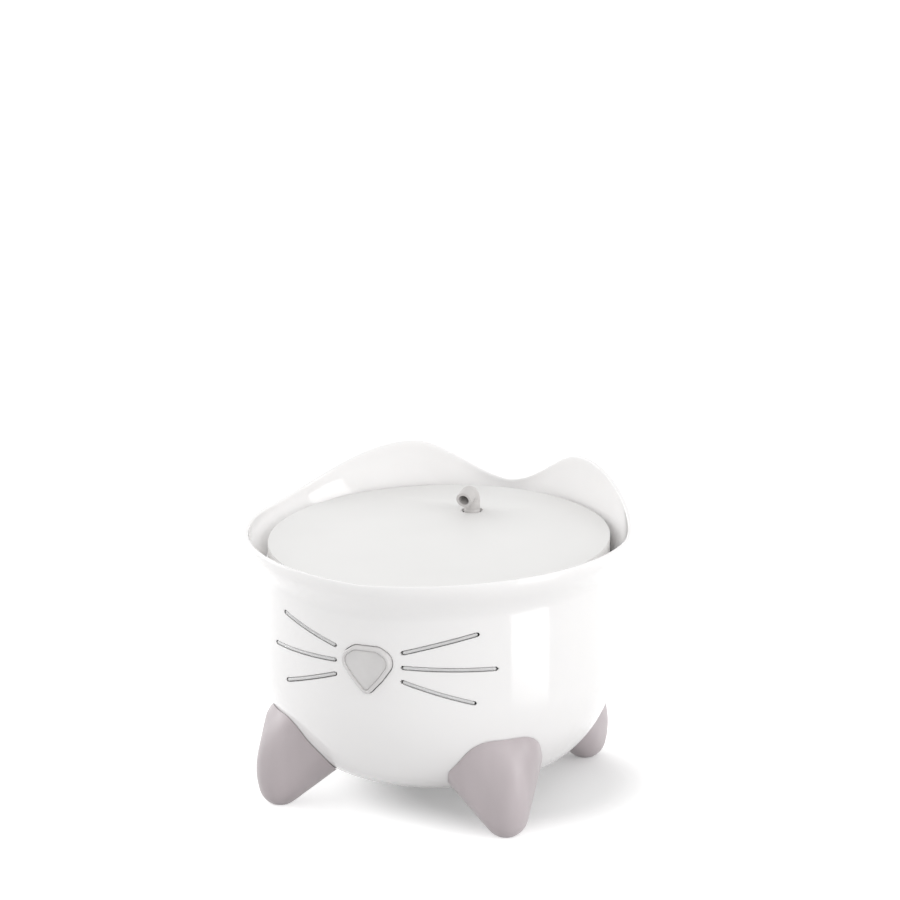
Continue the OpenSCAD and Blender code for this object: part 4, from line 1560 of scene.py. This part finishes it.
@dataclass
class Filter:
    """The replaceable filter: four wrapped pads of granules under a quilted fleece."""

    finishes: Finishes
    side: float = 88.0
    corner: float = 12.0
    hole_r: float = 8.5
    middle_y: float = -33.0
    bottom_z: float = 121.0
    lane: float = 5.0
    border: float = 3.5

    # Fleece. Each layer of wrinkles and of clouds in its tint is a height, a pitch and a seed
    sheet_t: float = 0.6
    sheet_gap: float = 0.3
    quilt: float = 0.75
    quilt_slope: float = 4.0
    hole_flat: float = 2.5
    wrinkles: tuple[Triple, ...] = ((0.14, 0.35, 0.0), (0.08, 1.1, 5.0))
    around: int = 288
    across: int = 46
    pale: Colour = (0.98, 0.995, 0.995)
    over_carbon: Colour = (0.82, 0.84, 0.83)
    over_resin: Colour = (1.0, 0.91, 0.80)
    tint_share: float = 0.85
    tint_clouds: Triple = (0.12, 0.12, 3.0)
    edge_share: float = 0.15
    edge_flat: float = 4.5
    hole_pale: float = 1.5

    # Pads. Each level is a height above the bottom and an inset
    pad_h: float = 8.5
    pad_corner: float = 10.0
    pad_steps: int = 160
    pad_levels: tuple[Pair, ...] = (
        (0.1, 13.0), (0.05, 9.0), (0.0, 6.0), (0.22, 3.8), (0.7, 2.4), (1.5, 1.4), (2.6, 0.75),
        (4.0, 0.3), (5.6, 0.1), (7.2, 0.0), (8.2, 0.35), (8.6, 1.2), (8.5, 2.5),
    )
    pad_crown: float = 8.6
    pad_tops: Pair = (0.7, 0.4)
    waist: float = 0.5
    waist_z: Pair = (0.3, 8.0)
    crease: float = 0.35
    crease_pitch: Pair = (0.28, 0.5)

    def outline_r(self, t: float) -> float:
        """Measures from the filter's middle to its edge.

        Args:
            t: Direction in radians.

        Returns:
            The distance.
        """
        c, s = abs(math.cos(t)), abs(math.sin(t))
        half, r = self.side / 2, self.corner
        straight = half / max(c, s)
        if min(c, s) * straight <= half - r:
            return straight
        m = (half - r) * (c + s)
        return m + math.sqrt(max(0.0, m * m - 2 * (half - r) ** 2 + r * r))

    @staticmethod
    def ripple(x: float, y: float, height: float, pitch: float, seed: float) -> float:
        """Height of one layer of soft noise at a point."""
        return height * noise.noise(Vector((x * pitch, y * pitch, seed)))

    def pad_w(self) -> float:
        """Width of a pad between the lane and the border."""
        return self.side / 2 - self.border - self.lane / 2

    def lift(self, x: float, y: float) -> float:
        """Tells how far the fleece is raised over the pads at a point.

        Args:
            x: Place of the point from the filter's middle.
            y: Place of the point from the filter's middle.

        Returns:
            Share of the quilt's height, from 0 to 1.
        """
        near = math.hypot(x, y) - self.hole_r - self.hole_flat
        for place in (abs(x), abs(y)):
            near = min(near, place - self.lane / 2, self.side / 2 - self.border - place)
        rise = min(1.0, max(0.0, near / self.quilt_slope))
        return rise * rise * (3 - 2 * rise)

    def tint(self, x: float, y: float) -> Colour:
        """Mixes the colour that shows through the fleece at a point.

        Args:
            x: Place of the point from the filter's middle.
            y: Place of the point from the filter's middle.

        Returns:
            The colour.
        """
        under = self.over_carbon if x < 0 else self.over_resin
        share = self.lift(x, y) * self.tint_share
        edge = self.side / 2 - max(abs(x), abs(y))
        if edge < self.edge_flat or math.hypot(x, y) < self.hole_r + self.hole_pale:
            share *= self.edge_share
        share = min(1.0, max(0.0, share + self.ripple(x, y, *self.tint_clouds)))
        return tuple(p + (u - p) * share for p, u in zip(self.pale, under))

    def fleece_ring(self, share: float) -> list[Point]:
        """Points round the fleece's upper side.

        Args:
            share: Share of the way from the hole to the edge.

        Returns:
            The points.
        """
        low = self.bottom_z + self.pad_h + self.sheet_t + self.sheet_gap
        ring = []
        for k in range(self.around):
            t = 2 * math.pi * k / self.around
            r = self.hole_r + (self.outline_r(t) - self.hole_r) * share
            x, y = r * math.cos(t), r * math.sin(t)
            wrinkle = sum(self.ripple(x, y, *layer) for layer in self.wrinkles)
            ring.append((x, self.middle_y + y, low + (self.quilt + wrinkle) * self.lift(x, y)))
        return ring

    def build_fleece(self) -> None:
        """Makes the fleece: a thin sheet, raised over the pads and flat at its edge."""
        upper = [self.fleece_ring(i / self.across) for i in range(self.across + 1)]
        under = [[(x, y, z - self.sheet_t) for x, y, z in ring] for ring in reversed(upper)]
        finish = self.finishes.fleece
        fleece = Bench.loft("fleece", [*upper, *under], finish.build(), closed=True)
        layer = fleece.data.color_attributes.new(finish.attribute, "FLOAT_COLOR", "POINT")
        for spot, vertex in zip(layer.data, fleece.data.vertices):
            spot.color = (*self.tint(vertex.co.x / MM, vertex.co.y / MM - self.middle_y), 1)
        Bench.smooth(fleece, 60)
        settle(fleece, "filter", "fleece_white", "filter_fleece")

    def pad(self, name: str, place: Flat, seed: float, material: bpy.types.Material) -> bpy.types.Object:
        """Makes one pad, pulled in between its corners and rounded underneath.

        Args:
            name: Name of the pad.
            place: Its middle, from the filter's middle.
            seed: Number that sets its creases.
            material: Its finish.

        Returns:
            The object.
        """
        x, y = place[0], self.middle_y + place[1]
        half = self.pad_w() / 2
        low, high = self.waist_z
        across, up = self.crease_pitch
        rings = []
        for z, inset in self.pad_levels:
            waist = self.waist if low < z < high else 0.0
            ring = []
            for px, py in rounded_box(half, half, self.pad_corner, self.pad_steps):
                crease = noise.noise(Vector((px * across + seed, py * across, z * up)))
                pull = waist * math.cos(4 * math.atan2(py, px)) + self.crease * (1 + crease)
                k = max(0.05, 1 - inset / half) * (1 - pull / math.hypot(px, py))
                ring.append((x + px * k, y + py * k, self.bottom_z + z))
            rings.append(ring)
        crown, edge = self.bottom_z + self.pad_crown, rings[-1]
        for k in self.pad_tops:
            rings.append([(x + (px - x) * k, y + (py - y) * k, crown) for px, py, _ in edge])
        return Bench.loft(name, rings, material)

    def build_pads(self) -> None:
        """Makes the two charcoal pads and the two amber pads."""
        place = (self.lane + self.pad_w()) / 2
        kinds = (
            ("carbon", -1, self.finishes.carbon, "carbon_grey"),
            ("resin", 1, self.finishes.resin, "resin_amber"),
        )
        for kind, s, finish, slot in kinds:
            material = finish.build()
            parts = [
                self.pad(f"{kind}_{k}", (s * place, k * place), 7.0 * s + 3.0 * k, material)
                for k in (-1, 1)
            ]
            sacks = Bench.join(f"{kind}_sacks", parts)
            Bench.smooth(sacks, 70)
            settle(sacks, "filter", slot, f"{kind}_pads")

    def build(self) -> None:
        """Makes the filter."""
        self.build_pads()
        self.build_fleece()


# ---------------------------------------------------------------- light, floor and camera


@dataclass(frozen=True)
class Lamp:
    """One soft area lamp that faces a point."""

    name: str
    place: Point
    size: Pair
    power: float
    aim: Point = (0.0, 0.0, 0.1)

    def build(self) -> None:
        """Makes the lamp."""
        data = bpy.data.lights.new(self.name, "AREA")
        data.shape = "RECTANGLE"
        data.size, data.size_y = self.size
        data.energy = self.power
        lamp = Bench.put(self.name, data)
        lamp.location = self.place
        lamp.rotation_euler = (Vector(self.aim) - Vector(self.place)).to_track_quat("-Z", "Y").to_euler()


@dataclass
class Studio:
    """Camera, pale floor, reflection card, world and lamps.

    The camera's azimuth and dip are in degrees, and its yaw is in radians.
    """

    camera_place: Point = (0.6893, -1.6437, 0.6289)
    azimuth: float = 22.75
    dip: float = 13.4
    yaw: float = 0.005
    lens: float = 124.8
    shift: float = -0.0045
    lamps: tuple[Lamp, ...] = (
        Lamp("key_lamp", place=(-1.9, 0.35, 0.8), size=(2.2, 1.5), power=14.5),
        Lamp("side_lamp", place=(2.09, -0.25, 0.9), size=(1.0, 1.4), power=12.0),
    )
    world_strength: float = 0.85

    # Floor and card, whose corners are in millimetres
    floor_half: float = 6000.0
    floor_greys: Pair = (0.71, 0.73)
    glow_spot: Point = (0.04, 0.015, 0.0)
    near_glow: float = 0.2
    far_glow: float = 0.62
    glow_reach: Pair = (0.055, 0.11)
    card_strength: float = 2.2
    card_fade: Pair = (0.2, 0.45)
    card_corners: tuple[Point, ...] = (
        (180.0, -111.0, 2.0), (1500.0, -604.0, 2.0), (1500.0, 139.0, 2.0), (180.0, -40.0, 2.0),
    )

    def build_camera(self) -> None:
        """Makes the camera."""
        data = bpy.data.cameras.new("camera")
        data.lens = self.lens
        data.sensor_width = 36.0
        data.shift_x = self.shift
        data.clip_start, data.clip_end = 0.05, 50.0
        camera = Bench.put("camera", data)
        turn, dip = math.radians(self.azimuth) - self.yaw, math.radians(self.dip)
        look = Vector((-math.sin(turn) * math.cos(dip), math.cos(turn) * math.cos(dip), -math.sin(dip)))
        camera.location = self.camera_place
        camera.rotation_mode = "QUATERNION"
        camera.rotation_quaternion = look.to_track_quat("-Z", "Y")
        bpy.context.scene.camera = camera

    def build_floor(self) -> None:
        """Makes the floor."""
        bench = NodeBench("floor_pale")
        low, high = ((grey, grey, grey) for grey in self.floor_greys)
        bench.set(
            Base_Color=bench.ramp(bench.noise(cells=3.0, layers=2.0), low, high),
            Roughness=bench.spread(bench.noise(cells=40.0, layers=3.0), 0.6, 0.75),
            Specular_IOR_Level=0.0,
        )
        bench.add_glow(self.glow_spot, self.near_glow, self.far_glow, self.glow_reach)
        a = self.floor_half
        corners = [(-a, -a, 0), (a, -a, 0), (a, a, 0), (-a, a, 0)]
        Bench.piece("floor", corners, [(0, 1, 2, 3)], bench.material)

    def build_card(self) -> None:
        """Makes a reflection card: a glowing sheet on the floor that only shows in glossy surfaces."""
        material = bpy.data.materials.new("reflection_card")
        material.use_nodes = True
        material.cycles.emission_sampling = "NONE"
        tree = material.node_tree
        tree.nodes.clear()
        place = add_node(tree, "ShaderNodeTexCoord").outputs["Object"]
        across = add_node(tree, "ShaderNodeSeparateXYZ", Vector=place).outputs["X"]
        strength = map_range(tree, across, self.card_fade, (0.0, self.card_strength), soft=True)
        glossy = add_node(tree, "ShaderNodeLightPath").outputs["Is Glossy Ray"]
        glow = add_node(tree, "ShaderNodeEmission", Color=glossy, Strength=strength)
        clear = add_node(tree, "ShaderNodeBsdfTransparent")
        both = join_shaders(tree, "ShaderNodeAddShader", clear, glow)
        add_node(tree, "ShaderNodeOutputMaterial", Surface=both)
        Bench.piece("card", self.card_corners, [(0, 1, 2, 3)], material)

    def build_world(self) -> None:
        """Makes the world: plain light, and white where the camera or a gloss sees it."""
        world = bpy.data.worlds.new("studio")
        bpy.context.scene.world = world
        world.use_nodes = True
        tree = world.node_tree
        tree.nodes.clear()
        light = add_node(tree, "ShaderNodeBackground", Color=WHITE, Strength=self.world_strength)
        seen = add_node(tree, "ShaderNodeBackground", Color=WHITE, Strength=1.0)
        surface = join_shaders(tree, "ShaderNodeMixShader", light, seen, Fac=seen_directly(tree))
        add_node(tree, "ShaderNodeOutputWorld", Surface=surface)

    def build(self) -> None:
        """Makes the studio."""
        self.build_camera()
        self.build_floor()
        self.build_card()
        self.build_world()
        for lamp in self.lamps:
            lamp.build()
        bpy.context.scene.view_settings.view_transform = "Standard"


def main() -> None:
    """Builds the scene piece by piece."""
    logging.basicConfig(level=logging.INFO, format="%(name)s: %(message)s")
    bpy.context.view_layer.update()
    Studio().build()
    finishes = Finishes()
    for assembly in (Pump, Bowl, Tube, Tray, Seals, Filter, Cover, Spout):
        assembly(finishes).build()


if __name__ == "__main__":
    main()
